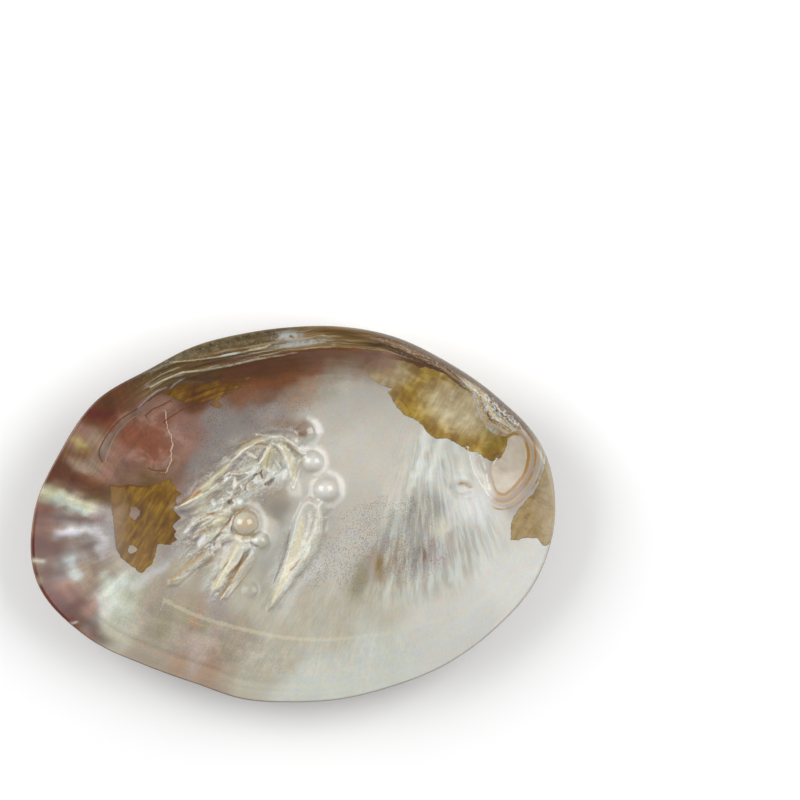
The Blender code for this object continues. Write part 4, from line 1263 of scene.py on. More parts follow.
def growth_tree():
    tree = bpy.data.node_groups.new("growth rings", "GeometryNodeTree")
    tree.interface.new_socket("Valve", in_out="INPUT", socket_type="NodeSocketGeometry")
    for name in GROWTH_SIZES:
        tree.interface.new_socket(name, in_out="INPUT", socket_type="NodeSocketFloat")
    for name in ("Inside finish", "Outside finish"):
        tree.interface.new_socket(name, in_out="INPUT", socket_type="NodeSocketMaterial")
    tree.interface.new_socket("Valve", in_out="OUTPUT", socket_type="NodeSocketGeometry")
    given = tree.nodes.new("NodeGroupInput")
    start = {socket.name: Flow(socket) for socket in given.outputs if socket.name}

    def number(name, kind="FLOAT"):
        return add_node(tree, "GeometryNodeInputNamedAttribute", {"data_type": kind}, {"Name": name})

    def noise(scale, seed):
        settings = {"noise_dimensions": "4D"}
        return add_node(tree, "ShaderNodeTexNoise", settings, {"Scale": scale, "W": seed, "Detail": 3.0})

    share, normal = number("share"), add_node(tree, "GeometryNodeInputNormal")
    wavering = share + (noise(28.0, start["Seed"]) - 0.5) * start["Waver"]
    phase = wavering**1.6 * start["Ring count"]
    slope = phase.math("FRACT", phase)
    step = slope**3.0 * slope.rise(1.0, 0.93)
    away_from_foot = share.rise(0.30, 0.42) * share.rise(0.985, 0.94)
    back_face = number("outside", "BOOLEAN")
    is_back = add_node(tree, "GeometryNodeSwitch", {"input_type": "FLOAT"}, {0: back_face, 1: 0.0, 2: 1.0})
    rings = (1.0 - step) * start["Ring depth"] * away_from_foot * is_back * -1.0
    grain = noise(900.0, start["Seed"]) - 0.5
    grains = grain * number("rough") * start["Grain height"] * (1.0 - is_back)
    lift = {0: normal, "Scale": rings + grains}
    offset = add_node(tree, "ShaderNodeVectorMath", {"operation": "SCALE"}, lift)
    moved = add_node(tree, "GeometryNodeSetPosition", None, {"Geometry": start["Valve"], "Offset": offset})
    joined = moved.add("GeometryNodeRealizeInstances", None, {0: moved})
    inner = {"Geometry": joined, "Material": start["Inside finish"]}
    lined = joined.add("GeometryNodeSetMaterial", None, inner)
    outer = {"Geometry": lined, "Selection": back_face, "Material": start["Outside finish"]}
    finished = lined.add("GeometryNodeSetMaterial", None, outer)
    result = tree.nodes.new("NodeGroupOutput")
    tree.links.new(finished.socket, result.inputs[0])
    return tree


print("inputs of the tree:", ", ".join(GROWTH_SIZES))


# %% Grow the valve
def grow(valve):
    """Runs the growth tree on the valve and keeps what comes out as a plain mesh."""
    growth = valve.modifiers.new("growth", "NODES")
    growth.node_group = growth_tree()
    given = dict(GROWTH_SIZES, **{"Inside finish": nacre, "Outside finish": skin})
    for item in growth.node_group.interface.items_tree:
        if item.in_out == "INPUT" and item.name in given:
            growth[item.identifier] = given[item.name]
    evaluated = valve.evaluated_get(bpy.context.evaluated_depsgraph_get())
    grown = bpy.data.meshes.new_from_object(evaluated)
    valve.modifiers.remove(growth)
    valve.data = grown
    return grown


grown_mesh = grow(valve)
print("grown valve:", len(grown_mesh.polygons), "faces,", len(grown_mesh.materials), "finishes")

# %% [markdown]
# ## Nacre
#
# Nacre is stacked platelets of a clear mineral. Light goes some way in and comes back as a soft gloss
# with a tint that changes with the angle. The finish is built like the real thing: the washes are the
# body colour, then come gleams, stains, patches and lines, and a clear glossy coat lies on top.

# %% Colours and ramps


def colour_stops(*marks):
    """A ramp's stops, each a place from 0 to 1 and a colour as seen on a screen."""
    return [(place, paint(*colour)) for place, *colour in marks]


def grey_stops(*marks):
    """A ramp's stops, each a place and a factor that darkens or lightens."""
    return [(place, (factor,) * 3) for place, factor in marks]


def blend(amount, below, above):
    """One colour laid over another."""
    values = {0: amount, 6: below if isinstance(below, Flow) else (*below, 1.0)}
    values[7] = above if isinstance(above, Flow) else (*above, 1.0)
    return amount.add("ShaderNodeMix", {"data_type": "RGBA"}, values, output=2)


def tinted(colour, amount, tint, mode="MULTIPLY"):
    values = {0: amount, 6: colour, 7: tint if isinstance(tint, Flow) else (*tint, 1.0)}
    return colour.add("ShaderNodeMix", {"data_type": "RGBA", "blend_type": mode}, values, output=2)


print("middle grey sends back this share of the light:", round(paint(128, 128, 128)[0], 2))

# %% A surface and its textures


class Surface:
    """The inputs that the finishes share: the place in millimetres, attributes and textures on it."""

    def __init__(self, material):
        material.use_nodes = True
        self.tree = material.node_tree
        self.shader = self.tree.nodes["Principled BSDF"]
        place = add_node(self.tree, "ShaderNodeTexCoord", output=3)
        scaling = {"operation": "SCALE"}
        self.place = place.add("ShaderNodeVectorMath", scaling, {0: place, "Scale": 1.0 / MM})
        self.x, self.y, self.z = (
            self.place.add("ShaderNodeSeparateXYZ", None, {0: self.place}, axis) for axis in range(3)
        )

    def number(self, name):
        return add_node(self.tree, "ShaderNodeAttribute", {"attribute_name": name}, output=2)

    def colour(self, name):
        return add_node(self.tree, "ShaderNodeAttribute", {"attribute_name": name}, output=0)

    def along_fold(self, lengthwise, across):
        """Coordinates that run with the crumpled fold, scaled along it and across it."""
        along, aside = self.x * 0.82 + self.y * 0.57, self.y * 0.82 - self.x * 0.57
        return self.vector(along * lengthwise, aside * across)

    def vector(self, x, y, z=0.0):
        return add_node(self.tree, "ShaderNodeCombineXYZ", None, {0: x, 1: y, 2: z})

    def noise(self, per_mm, detail=3.0, at=None, warp=0.0):
        values = {"Vector": at or self.place, "Scale": per_mm, "Detail": detail, "Distortion": warp}
        return add_node(self.tree, "ShaderNodeTexNoise", None, values)

    def ramp(self, amount, stops):
        return amount.add("ShaderNodeValToRGB", {"stops": stops}, {0: amount})

    def give(self, name, value):
        if isinstance(value, Flow):
            self.tree.links.new(value.socket, self.shader.inputs[name])
        else:
            self.shader.inputs[name].default_value = value

    def bump(self, height, distance_mm, strength=1.0, below=None):
        values = {"Strength": strength, "Distance": distance_mm * MM, "Height": height}
        if below:
            values["Normal"] = below
        return height.add("ShaderNodeBump", None, values)


print("textures are scaled per millimetre:", round(1.0 / MM), "to a metre")

# %% [markdown]
# ### Body colour, silk and gleam
#
# Fine lines fan out from the beak across the nacre, like silk. Their coordinate is the angle around the
# beak, so a noise that is fine round it and long away from it draws them. The flutes of the back end are
# made the same way, around a point in the bowl.

# %% Silk and gleam
FAN_POINT = (38.0, 44.0)  # where the silky lines come from
GLEAMS = colour_stops(
    (0.0, 214, 196, 196), (0.3, 222, 214, 190), (0.55, 196, 214, 204), (0.8, 200, 204, 222),
    (1.0, 216, 196, 206),
)
HUES = (  # pink, straw, sea green, sky and lilac, each a light tint
    (0.30, (1.07, 0.96, 0.98)), (0.42, (1.04, 1.02, 0.93)), (0.52, (0.97, 1.03, 0.99)),
    (0.62, (0.95, 1.0, 1.06)), (0.74, (1.03, 0.97, 1.05)),
)
UNDER_PLATE = ((0.36, (0.82, 0.76, 0.70)), (0.5, (1.0, 1.0, 1.0)), (0.64, (1.20, 1.16, 1.14)))
# each pair below is where something starts and where it is whole, in mm unless it says otherwise
MARGIN_LAYERS = (0.62, 0.80)  # share of the way from the middle to the margin
LAYERS_STRONGER = (20.0, -30.0)  # along x
BESIDE_PLATE = (-13.0, -3.0)  # outwards from the plate's inner edge
BESIDE_BEAK = (24.0, 10.0)  # along x
FLUTES_STRONGER = (150.0, 600.0)  # square of the distance from the fan's point


def silk_lines(s):
    """Streaks that fan out from the beak, broad ones and fine ones, from 0 to 1."""
    across, down = s.x - FAN_POINT[0], FAN_POINT[1] - s.y
    turn, square = across.math("ARCTAN2", across, down), across * across + down * down
    reach = square.math("SQRT", square)
    streak = s.noise(1.0, 3.0, s.vector(turn * 34.0, reach * 0.09), 0.3)
    finer = s.noise(1.0, 2.0, s.vector(turn * 170.0, reach * 0.30), 0.3)
    return streak, finer


def layers_and_flutes(s, colour):
    """Growth layers near the margin, bands beside the hinge plate, and the flutes of the back end."""
    share, plate = s.number("share"), s.number("plate")
    growth = s.noise(1.0, 4.0, s.vector(share * 26.0, s.x * 0.01, s.y * 0.01))
    near_margin = share.rise(*MARGIN_LAYERS) * (s.x.rise(*LAYERS_STRONGER) * 0.7 + 0.15)
    colour = tinted(colour, near_margin, s.ramp(growth, grey_stops((0.35, 0.88), (0.65, 1.08))))
    under = s.noise(1.0, 4.0, s.vector(s.x * 0.05, plate * 0.8), 0.4)
    beside = plate.rise(*BESIDE_PLATE) * s.x.rise(*BESIDE_BEAK) * 0.7
    colour = tinted(colour, beside, s.ramp(under, UNDER_PLATE))
    across, up = s.x - REAR_FAN_POINT[0], s.y - REAR_FAN_POINT[1]
    spoke = up.math("ARCTAN2", up, across).size()
    flute = s.noise(1.0, 5.0, s.vector(spoke * 8.0, s.x * 0.05, s.y * 0.05), 0.3)
    far = (across * across + up * up).rise(*FLUTES_STRONGER)
    flutes = s.ramp(flute, grey_stops((0.36, 0.74), (0.5, 1.0), (0.66, 1.28)))
    return tinted(colour, s.number("rear") * (far * 0.65 + 0.2), flutes)


def body_colour(s, streak, finer):
    cloudy, silk, veil = s.number("cloudy"), s.number("silk"), s.number("veil")
    clouds = s.ramp(s.noise(0.16, 4.0, warp=0.6), grey_stops((0.3, 0.80), (0.7, 1.16)))
    colour = tinted(s.colour("wash"), cloudy * 0.8 + 0.2, clouds)
    streaks = s.ramp(streak, grey_stops((0.35, 0.90), (0.5, 1.0), (0.66, 1.14)))
    colour = tinted(colour, silk * 0.55 + veil * 0.40 + 0.04, streaks)
    fine_streaks = s.ramp(finer, grey_stops((0.35, 0.86), (0.65, 1.12)))
    colour = tinted(colour, silk * 0.50 + veil * 0.35 + 0.10, fine_streaks)
    colour = layers_and_flutes(s, colour)
    colour = tinted(colour, 0.65, s.ramp(s.noise(0.42, 4.0, warp=0.4), HUES))
    grain = s.ramp(s.noise(1.7, 5.0), grey_stops((0.34, 0.90), (0.66, 1.09)))
    colour = tinted(colour, 0.35 + cloudy * 0.5, grain)
    # painted sheen: pale tinted flashes over the silky area and the fold
    painted_sheen = s.ramp(s.noise(0.16, 2.0, warp=0.8), GLEAMS)
    strength = (silk * 0.30 + s.number("bright") * 0.40) * streak.rise(0.42, 0.62)
    return blend(strength, colour, painted_sheen)


print("tints of the gleam:", len(GLEAMS), "and of the body:", len(HUES))

# %% [markdown]
# ### Folds, specks and stains
#
# Brown matter stays in the creases of the fold. Painted shade darkens its hollows, and painted highlights
# lighten its crests, with painted glints and dark painted reflections on its facets, and pale painted
# highlights round the pearls' right sides. Fine dark specks are pores in the nacre. The marbled end is
# mottled red under clear layers.

# %% Shade the relief and sprinkle the specks
MARK_STRENGTH = 0.8
GLINTS = colour_stops(
    (0.3, 236, 226, 226), (0.45, 236, 236, 222), (0.55, 222, 238, 232), (0.7, 222, 226, 240)
)


def shade_relief(s, colour):
    crease, bright = s.number("crease"), s.number("bright")
    off_pearls = bright * (1.0 - s.number("ball"))
    # painted shade: grey brown in the fold's hollows
    colour = blend(crease.rise(-0.02, -0.36) * bright * 0.55, colour, paint(120, 108, 98))
    stained = s.noise(0.30, 2.0).rise(0.54, 0.64) * crease.rise(0.0, -0.22) * bright
    colour = blend(stained * 0.45, colour, paint(160, 130, 84))
    # painted highlight: pale cream on the fold's crests
    colour = blend(crease.rise(0.05, 0.40) * bright * 0.40, colour, paint(210, 208, 194))
    foil = s.noise(1.0, 3.0, s.along_fold(0.35, 1.0), 0.5)
    # painted dark reflections: grey lilac patches on the fold's facets
    colour = blend(foil.rise(0.40, 0.30) * bright * 0.22, colour, paint(128, 124, 132))
    # painted highlights: thin pale lines along the fold's ridges, off the pearls
    ridge_highlight = (s.noise(1.0, 3.0, s.along_fold(0.30, 0.75), 1.0) - 0.5).size().rise(0.035, 0.005)
    colour = blend(ridge_highlight * off_pearls * 0.5, colour, paint(224, 220, 206))
    vein = (s.noise(1.0, 3.0, s.along_fold(0.26, 0.60), 1.0) - 0.45).size().rise(0.022, 0.0)
    colour = blend(vein * off_pearls * 0.5, colour, paint(150, 120, 78))
    # painted highlight: pale half rings at the pearls' right sides
    halo = (s.number("halo") + (s.noise(0.5, 2.0) - 0.5) * 1.4).rise(1.4, 0.0)
    colour = blend(halo * 0.45, colour, paint(228, 226, 220))
    # painted glints, tinted, on the fold but not on the pearls
    glint = foil.rise(0.60, 0.68) * off_pearls
    return blend(glint * 0.35, colour, s.ramp(s.noise(0.5, 2.0), GLINTS))


def sprinkle(s, colour):
    values = {"Vector": s.place, "Scale": 3.0, "Randomness": 1.0}
    cell = add_node(s.tree, "ShaderNodeTexVoronoi", None, values)
    chance = Flow(cell.socket.node.outputs["Color"])
    few = chance.add("ShaderNodeSeparateColor", None, {0: chance})
    crowd = s.noise(0.15, 3.0).rise(0.32, 0.62) * s.number("speck")
    dot = cell.rise(0.46, 0.30) * (few + crowd * 0.80).rise(0.86, 0.90) * crowd.rise(0.05, 0.3)
    return blend(dot * 0.6, colour, paint(78, 62, 58)), dot


def marbled(s, colour):
    clouds = s.noise(0.17, 4.0, warp=0.3)
    marble = s.number("marble")
    colour = blend(clouds.rise(0.50, 0.66) * marble * 0.5, colour, paint(172, 138, 124))
    return blend(clouds.rise(0.48, 0.36) * marble * 0.5, colour, paint(116, 60, 42))


print("tints of the glints:", len(GLINTS))

# %% Colour the strokes
def marked(s, colour):
    uneven = (s.noise(1.1, 3.0) - 0.5) * 0.9
    broken = s.noise(0.6, 3.0).rise(0.25, 0.5) * 0.5 + 0.5
    shade = s.ramp(s.noise(0.9, 3.0), grey_stops((0.3, 0.84), (0.7, 1.12)))
    for name, (screen_colour, _, _) in MARKS.items():
        cover = (s.number(name + " marks") + uneven).rise(1.35, 0.35) * broken * MARK_STRENGTH
        colour = blend(cover, colour, tinted(shade, 1.0, paint(*screen_colour)))
    return colour


print("colours of strokes:", len(MARKS))

# %% [markdown]
# ### Ochre skins
#
# The skins are golden in front and olive at the back end, tan where they are thin, and a little darker
# along their torn edge. Their brush marks run across them. The border is the patch's distance with a
# little noise, cut at nothing.

# %% Ochre skins
GOLDEN_SKIN = colour_stops((0.36, 126, 92, 20), (0.5, 158, 126, 38), (0.64, 190, 164, 84))
OLIVE_SKIN = colour_stops((0.36, 84, 52, 8), (0.5, 112, 78, 12), (0.64, 140, 106, 20))
TAN_SKIN = colour_stops((0.36, 158, 134, 86), (0.5, 188, 168, 124), (0.66, 216, 206, 170))
REAR_TAN_SKIN = colour_stops((0.3, 118, 84, 42), (0.7, 152, 118, 74))
FRONT_SKIN = colour_stops((0.3, 122, 92, 34), (0.7, 156, 132, 76))
STRANDS = ((0.36, (0.62, 0.56, 0.5)), (0.62, (1.12, 1.08, 1.1)))
REAR_SKINS = (-8.0, -16.0)  # between these two places along x, front colours turn into rear ones
FRONT_BEGINS = (61.0, 64.0)  # along x, as the next two are
FRONT_PALER = (68.0, 75.0)
DARK_BEFORE_FRONT = (52.5, 56.5)
DARK_TINT = (0.62, 0.58, 0.42)
BRUSHED_ABOVE = (26.0, 30.0)  # along y
THIN_FROM, THIN_TO, THIN_ABOVE = (33.0, 27.0), (-8.0, 0.0), (38.5, 43.0)  # x, x and y of the thin part
TORN_TINT = (0.72, 0.56, 0.34)


def ochre_skins(s, colour):
    """The colour with the skins laid over it, and how far they cover it."""
    distance = s.number("ochre") + (s.noise(0.8, 4.0) - 0.5) * 1.1
    pale, rear = s.number("pale"), s.x.rise(*REAR_SKINS)
    run, across = s.x * 0.5 + s.y * 0.86, s.x * 0.86 - s.y * 0.5
    brushed = s.noise(1.0, 4.0, s.vector(run * 0.16, across * 0.7), 0.4)
    mottled = s.noise(0.22, 5.0, warp=0.7)
    sheen = brushed * 0.6 + mottled * 0.4
    gold = s.ramp(brushed * 0.25 + mottled * 0.75, GOLDEN_SKIN)
    gold = blend(rear, gold, s.ramp(sheen, OLIVE_SKIN))
    tan = blend(rear, s.ramp(sheen, TAN_SKIN), s.ramp(mottled, REAR_TAN_SKIN))
    skin_colour = blend(pale * ((1.0 - rear) * 0.25 + 0.60), gold, tan)
    front = blend(s.x.rise(*FRONT_PALER) * 0.6, s.ramp(sheen, FRONT_SKIN), paint(172, 150, 110))
    skin_colour = blend(s.x.rise(*FRONT_BEGINS), skin_colour, front)
    dark = s.x.rise(*DARK_BEFORE_FRONT) * s.x.rise(*FRONT_BEGINS[::-1])
    skin_colour = tinted(skin_colour, dark, DARK_TINT)
    brush = s.y.rise(*BRUSHED_ABOVE) * rear
    strands = s.noise(1.0, 4.0, s.vector(s.x * 0.08, s.number("plate") * 1.1), 0.6)
    skin_colour = tinted(skin_colour, brush, s.ramp(strands, STRANDS))
    torn_edge = distance.rise(0.40, 0.05) * (rear * 0.5 + 0.12)
    skin_colour = tinted(skin_colour, torn_edge, TORN_TINT)
    thin = s.x.rise(*THIN_FROM) * s.x.rise(*THIN_TO) * (s.y.rise(*THIN_ABOVE) * 0.65 + 0.12)
    missing = pale * 0.22 + brush * strands.rise(0.56, 0.44) * 0.5
    cover = distance.rise(-0.08, 0.10) * (1.0 - thin)
    return blend(cover * (0.97 - missing).at_least(0.0), colour, skin_colour), cover


print("skins change colour between x =", REAR_SKINS[1], "and", REAR_SKINS[0], "mm")

# %% [markdown]
# ### Lines, scar and hinge
#
# Thin brown lines ring the muscle scar and mark where it moved as the animal grew. The hinge plate is
# layered: olive bands at the back end, then gold and plum brown ones, and paler, colder ones towards the
# beak, with dull ligament outside and painted lilac and green gleams between the teeth. A painted
# highlight runs along the teeth's crests, and painted glints lie on the plate near the beak.

# %% Lines and the scar
SCAR_LINES = (  # distance outwards, half width, colour
    (0.0, 0.36, paint(158, 118, 52)), (0.8, 0.14, paint(184, 154, 100)), (2.0, 0.22, paint(160, 122, 58)),
    (2.8, 0.14, paint(184, 158, 108)), (4.2, 0.26, paint(156, 116, 52)),
)
SCAR_IN_FRONT = (55.0, 59.0)  # along x
SCAR_BAND = (-3.8, -2.8)  # inwards from the scar's edge, so outside the scar
DRAWN_LINES = (  # attribute, waver, half width, strength, colour
    ("crack", 1.2, 0.13, 0.80, paint(206, 176, 156)),
    ("hairline", 0.5, 0.20, 0.85, paint(104, 56, 26)),
    ("fold", 0.4, 0.14, 0.35, paint(186, 156, 130)),
)
PALLIAL_STRONGER = (36.0, 0.0)  # along x


def thin_line(distance, wobble, half_width):
    return (distance + wobble).size().rise(half_width * 1.6, half_width * 0.5)


def scar_colour(s, colour):
    wobble = (s.noise(0.8, 3.0) - 0.5) * 0.8
    scar = s.number("scar") + wobble * 0.35
    cream = s.ramp(s.noise(0.3), colour_stops((0.3, 182, 166, 144), (0.7, 202, 192, 174)))
    colour = blend(scar.rise(-0.1, 0.5) * 0.8, colour, cream)
    around = s.x.rise(*SCAR_IN_FRONT)
    band = scar.rise(*SCAR_BAND) * scar.rise(0.1, -0.1) * around
    colour = blend(band * 0.75, colour, paint(156, 138, 124))
    broken = s.noise(0.22, 3.0).rise(0.32, 0.52) * 0.8 + 0.2
    for offset, width, brown in SCAR_LINES:
        colour = blend(thin_line(scar + offset, wobble * 0.3, width) * around * broken, colour, brown)
    return colour


def drawn_lines(s, colour):
    wobble = s.noise(0.8, 3.0) - 0.5
    torn = thin_line(s.number("torn"), wobble * 0.9, 0.20) * s.noise(0.5, 3.0).rise(0.36, 0.5)
    colour = blend(torn * 0.9, colour, paint(222, 220, 212))
    for name, waver, half_width, strength, line_colour in DRAWN_LINES:
        line = thin_line(s.number(name), wobble * waver, half_width)
        colour = blend(line * strength, colour, line_colour)
    pallial = thin_line(s.number("pallial"), wobble * 1.2, 0.5)
    return blend(pallial * (s.x.rise(*PALLIAL_STRONGER) * 0.22 + 0.06), colour, paint(210, 204, 168))


print("lines around the scar:", len(SCAR_LINES), "and elsewhere:", 2 + len(DRAWN_LINES))

# %% Hinge bands
OLIVE_BANDS = colour_stops((0.34, 52, 38, 22), (0.45, 88, 70, 42), (0.54, 112, 82, 42), (0.64, 74, 60, 42))
GOLD_BANDS = colour_stops((0.34, 84, 60, 28), (0.45, 104, 80, 42), (0.54, 124, 100, 58), (0.64, 96, 70, 38))
PLUM_BANDS = colour_stops((0.34, 52, 32, 18), (0.45, 98, 70, 40), (0.54, 134, 104, 70), (0.64, 78, 50, 28))
COLD_BANDS = colour_stops((0.34, 70, 46, 26), (0.45, 122, 96, 62), (0.54, 156, 146, 128), (0.64, 116, 84, 42))
LATER_BANDS = ((-4.0, GOLD_BANDS), (22.0, PLUM_BANDS), (48.0, COLD_BANDS))  # each from its place along x
BAND_CHANGE = 5.0  # half the length of a change from one kind of band to the next
# pairs of places along x, and outwards from the plate's inner edge
PLATE_BEGINS, PLATE_COVERS = (-50.0, -38.0), (0.1, 0.8)
LIGAMENT_ALONG, LIGAMENT_OUT = (4.0, -6.0), (4.4, 5.2)
FOLDS_ALONG, FOLDS_OUT = (47.0, 52.0), (5.0, 3.4)
GRAINS_ALONG, GRAINS_OUT = (8.0, -4.0), (2.0, 3.5)
GLINTS_STRONGER = (44.0, 52.0)
GOLD_FOLDS = colour_stops(
    (0.36, 126, 88, 40), (0.46, 176, 146, 92), (0.56, 208, 194, 158), (0.66, 150, 112, 60)
)
THIN_GLEAMS = colour_stops(
    (0.2, 176, 182, 196), (0.42, 172, 170, 104), (0.6, 190, 198, 184), (0.8, 166, 154, 150)
)


def layered_plate(s, out):
    """The hinge plate's layers, which run along it, with the dull ligament outside them."""
    lay = s.noise(1.0, 4.0, s.vector(s.x * 0.05, out * 0.75), 0.15)
    bands = s.ramp(lay, OLIVE_BANDS)
    for start, stops in LATER_BANDS:
        bands = blend(s.x.rise(start - BAND_CHANGE, start + BAND_CHANGE), bands, s.ramp(lay, stops))
    ligament = s.x.rise(*LIGAMENT_ALONG) * out.rise(*LIGAMENT_OUT)
    dull = s.ramp(s.noise(0.5, 4.0), colour_stops((0.35, 72, 60, 38), (0.65, 112, 100, 70)))
    bands = blend(ligament * 0.9, bands, dull)
    folds = s.x.rise(*FOLDS_ALONG) * out.rise(*FOLDS_OUT)
    bands = blend(folds * 0.85, bands, s.ramp(lay, GOLD_FOLDS))
    # painted sheen: thin pale gleams along the plate's layers, kept off the ligament
    thin = s.noise(1.0, 3.0, s.vector(s.x * 0.05 + 9.0, out * 1.9), 0.1).rise(0.58, 0.66)
    return blend(thin * (1.0 - ligament) * 0.35, bands, s.ramp(s.noise(0.08, 1.0), THIN_GLEAMS))


def hinge_bands(s, colour):
    """The colour with the hinge plate laid over it, and how far the plate covers it."""
    out = s.number("plate") + (s.noise(0.20, 2.0) - 0.5) * 1.2
    bands = layered_plate(s, out)
    # painted highlight: a broken pale line along the crests of the two long teeth
    crest = thin_line(s.number("tooth"), (s.noise(0.3) - 0.5) * 0.9, 0.26)
    bands = blend(crest * s.noise(0.16, 3.0).rise(0.40, 0.56) * 0.35, bands, paint(170, 166, 146))
    # painted glints: pale blue dots on the plate near the beak
    painted_glints = s.noise(1.0, 3.0, s.vector(s.x * 0.9 - s.y * 0.5, s.x * 1.1 + s.y * 1.5), 0.5)
    far_out = s.x.rise(*GLINTS_STRONGER)
    painted_glints = (painted_glints + far_out * 0.05).rise(0.54, 0.62) * s.number("sparkle") * (far_out * 0.6 + 0.4)
    bands = blend(painted_glints * 0.75, bands, paint(198, 214, 224))
    dull_place = s.x.rise(*GRAINS_ALONG) * out.rise(*GRAINS_OUT)
    grains = s.noise(1.8, 2.0).rise(0.60, 0.68) * dull_place
    bands = blend(grains * 0.5, bands, paint(150, 140, 112))
    bands = blend(s.number("steel") * s.noise(0.7, 3.0).rise(0.30, 0.55) * 0.75, bands, paint(176, 182, 180))
    cover = out.rise(*PLATE_COVERS) * s.x.rise(*PLATE_BEGINS)
    return blend(cover * 0.95, colour, bands), cover


print("bands for the hinge:", 1 + len(LATER_BANDS))

# %% Lip
LAYERED_LIP = colour_stops((0.36, 60, 46, 28), (0.5, 94, 76, 48), (0.64, 126, 108, 76))
BEAK_ALONG, BEAK_UP = (12.0, 22.0), (16.0, 24.0)  # where the lip beside the beak begins, along x and y
LIP_BROWNER, LIP_LAYERED = (10.0, -20.0), (12.0, 30.0)  # along x, and along y
BEAK_EDGE = (0.966, 0.984)  # share of the way from the middle to the margin


def lip_colour(s, colour):
    """A thin brown edge, layered beside the hinge, where the outer skin folds over the lip."""
    edge = s.number("share") + (s.noise(0.6, 3.0) - 0.5) * 0.02
    near_beak = s.x.rise(*BEAK_ALONG) * s.y.rise(*BEAK_UP)
    colour = blend(edge.rise(*BEAK_EDGE) * near_beak * 0.75, colour, paint(92, 66, 42))
    brown = blend(s.x.rise(*LIP_BROWNER), paint(150, 144, 130), paint(122, 78, 52))
    layers = s.noise(1.0, 4.0, s.vector(s.x * 0.04, s.y * 0.04, s.z * 1.3), 0.2)
    brown = blend(s.y.rise(*LIP_LAYERED), brown, s.ramp(layers, LAYERED_LIP))
    return blend((s.number("lip") - s.number("beak") * 0.25).rise(0.25, 0.70) * 0.9, colour, brown)


print("tints of the layered lip:", len(LAYERED_LIP))

# %% [markdown]
# ### Put the nacre together
#
# The colour goes through the steps in the order in which they lie on the shell. Dull skins and the
# hinge are rougher than nacre. The silky lines and the specks are too fine for the mesh, so they are bump.

# %% Nacre material
SAGGING_SKINS = (20.0, 30.0)  # along x




def finish_nacre():
    s = Surface(nacre)
    streak, finer = silk_lines(s)
    colour = body_colour(s, streak, finer)
    colour = marbled(s, colour)
    colour, dots = sprinkle(s, colour)
    colour = shade_relief(s, colour)
    colour = scar_colour(s, colour)
    colour, skins = ochre_skins(s, colour)
    colour, hinge_cover = hinge_bands(s, colour)
    for step in (drawn_lines, marked, lip_colour):
        colour = step(s, colour)
    s.give("Base Color", colour)

    bright, silk, ball = s.number("bright"), s.number("silk"), s.number("ball")
    smoother = bright * 0.06 + ball * 0.08
    rougher = skins * 0.16 + hinge_cover * 0.12 + dots * 0.2
    roughness = s.noise(2.2, 3.0) * 0.10 + 0.20 - smoother + rougher
    s.give("Roughness", roughness)
    s.give("Coat Weight", 0.12 + ball * 0.7 + bright * 0.55 - skins * 0.1 - hinge_cover * 0.1)
    s.give("Coat Roughness", 0.08)
    s.give("Specular IOR Level", 0.42)

    lines = s.bump(streak * (silk * 0.8 + 0.1), 0.12, 0.5)
    fine = s.bump(finer * (silk * 0.8 + 0.1), 0.05, 0.4, lines)
    pores = s.bump(1.0 - dots, 0.08, 0.5, fine)
    rough = s.bump(s.noise(1.6, 4.0) * s.number("rough"), 0.25, 0.8, pores)
    foil = (s.noise(1.0, 3.0, s.along_fold(0.35, 1.1), 0.8) - 0.5).size()
    creases = s.bump(foil * bright * (1.0 - ball), 0.7, 0.6, rough)
    layers = s.noise(1.0, 3.0, s.vector(s.x * 0.08, s.number("plate") * 1.5))
    plate_lines = s.bump(layers * hinge_cover, 0.35, 0.7, creases)
    sags = s.bump(s.noise(0.16, 3.0) * skins * s.x.rise(*SAGGING_SKINS), 2.2, 0.6, plate_lines)
    s.give("Normal", sags)


finish_nacre()
print("nacre:", len(nacre.node_tree.nodes), "nodes")

# %% [markdown]
# ## Outer skin
#
# Outside, a horny olive brown skin covers the shell. It is darkest in the rings, frayed at the margin,
# and worn through to chalky nacre at the beak, where the shell is oldest.

# %% Outer skin material
RING_COLOURS = colour_stops((0.25, 46, 36, 24), (0.45, 84, 66, 38), (0.6, 112, 92, 52), (0.8, 66, 52, 34))
CHALK = colour_stops((0.3, 168, 158, 140), (0.7, 206, 200, 186))
WORN_POINT = (38.0, 34.0)  # the middle of the worn place, at the beak


def finish_outer_skin():
    s = Surface(skin)
    wavering = s.number("share") + (s.noise(0.03, 3.0) - 0.5) * 0.05
    rings = s.noise(1.0, 5.0, s.vector(wavering * 26.0, 0.0, 0.0))
    cloud = s.noise(0.07, 4.0, warp=0.8)
    base = tinted(s.ramp(rings, RING_COLOURS), 1.0, s.ramp(cloud, grey_stops((0.3, 0.75), (0.7, 1.2))))
    across, up = s.x - WORN_POINT[0], s.y - WORN_POINT[1]
    ragged = (s.noise(0.22, 5.0) - 0.5) * 1.3
    worn = (1.0 - (across * across + up * up) * 0.0011 + ragged).rise(0.10, 0.22)
    s.give("Base Color", blend(worn, base, s.ramp(s.noise(0.5, 3.0), CHALK)))
    s.give("Roughness", 0.62 - worn * 0.12 + (rings - 0.5) * 0.2)
    s.give("Specular IOR Level", 0.35)
    lines = s.bump(rings, 0.35, 0.8)
    frayed = s.bump(s.noise(1.4, 4.0), 0.12, 0.5, lines)
    s.give("Normal", s.bump(1.0 - worn, 0.15, 0.6, frayed))


finish_outer_skin()
print("outer skin:", len(skin.node_tree.nodes), "nodes")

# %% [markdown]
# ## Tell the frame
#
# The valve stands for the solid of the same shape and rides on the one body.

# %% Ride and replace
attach(valve, "root")
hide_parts("shell")
print("piece:", valve.name)

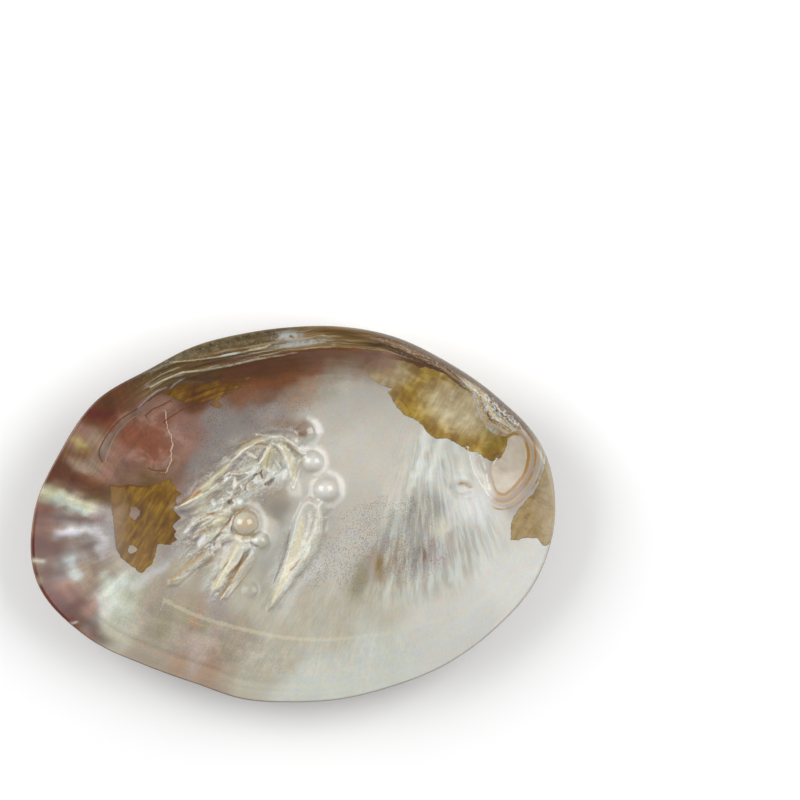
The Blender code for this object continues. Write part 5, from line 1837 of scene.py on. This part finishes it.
# %% [markdown]
# ## Studio
#
# The shell lies on a plain white floor. Two soft boxes, left and right, give the paired highlights on
# the pearls, and a pale sky fills the rest. The camera looks straight down through a long lens.

# %% Floor, lights and camera
FLOOR_SIZE = 4.0
BOX_DISTANCE, BOX_TILT, BOX_SIZE, BOX_POWER = 0.75, 50.0, (0.60, 0.72), 4.8
BOX_FORWARD = 0.16
SKY_STRENGTH = 0.34
CAMERA_PLACE = (0.0306, 0.0326, 1.262)
LENS, SENSOR = 197.4, 36.0


def make_floor():
    mesh = bpy.data.meshes.new("floor")
    corners = [(x * FLOOR_SIZE / 2, y * FLOOR_SIZE / 2, 0) for x, y in ((-1, -1), (1, -1), (1, 1), (-1, 1))]
    mesh.from_pydata(corners, [], [(0, 1, 2, 3)])
    floor = bpy.data.objects.new("floor", mesh)
    bpy.context.scene.collection.objects.link(floor)
    plain = bpy.data.materials.new("floor paper")
    plain.use_nodes = True
    shader = plain.node_tree.nodes["Principled BSDF"]
    shader.inputs["Base Color"].default_value = (0.92, 0.92, 0.92, 1.0)
    shader.inputs["Roughness"].default_value = 0.9
    shader.inputs["Specular IOR Level"].default_value = 0.1
    mesh.materials.append(plain)
    return floor


def make_soft_box(name, side):
    light = bpy.data.lights.new(name, "AREA")
    light.shape = "RECTANGLE"
    light.size, light.size_y = BOX_SIZE
    light.energy = BOX_POWER
    tilt = math.radians(BOX_TILT)
    box = bpy.data.objects.new(name, light)
    box.location = (side * BOX_DISTANCE * math.sin(tilt), BOX_FORWARD, BOX_DISTANCE * math.cos(tilt))
    box.rotation_euler = Vector(box.location).to_track_quat("Z", "Y").to_euler()
    bpy.context.scene.collection.objects.link(box)
    return box


def make_sky():
    world = bpy.data.worlds.new("studio")
    world.use_nodes = True
    background = world.node_tree.nodes["Background"]
    background.inputs["Color"].default_value = (1.0, 1.0, 1.0, 1.0)
    background.inputs["Strength"].default_value = SKY_STRENGTH
    bpy.context.scene.world = world


def make_camera():
    lens = bpy.data.cameras.new("camera")
    lens.lens, lens.sensor_width = LENS, SENSOR
    camera = bpy.data.objects.new("camera", lens)
    camera.location = CAMERA_PLACE
    bpy.context.scene.collection.objects.link(camera)
    bpy.context.scene.camera = camera


floor = make_floor()
soft_boxes = [make_soft_box("soft_box_left", -1.0), make_soft_box("soft_box_right", 1.0)]
make_sky()
make_camera()
bpy.context.scene.view_settings.view_transform = "Standard"
print("camera", round(CAMERA_PLACE[2], 2), "m up,", len(soft_boxes), "soft boxes")
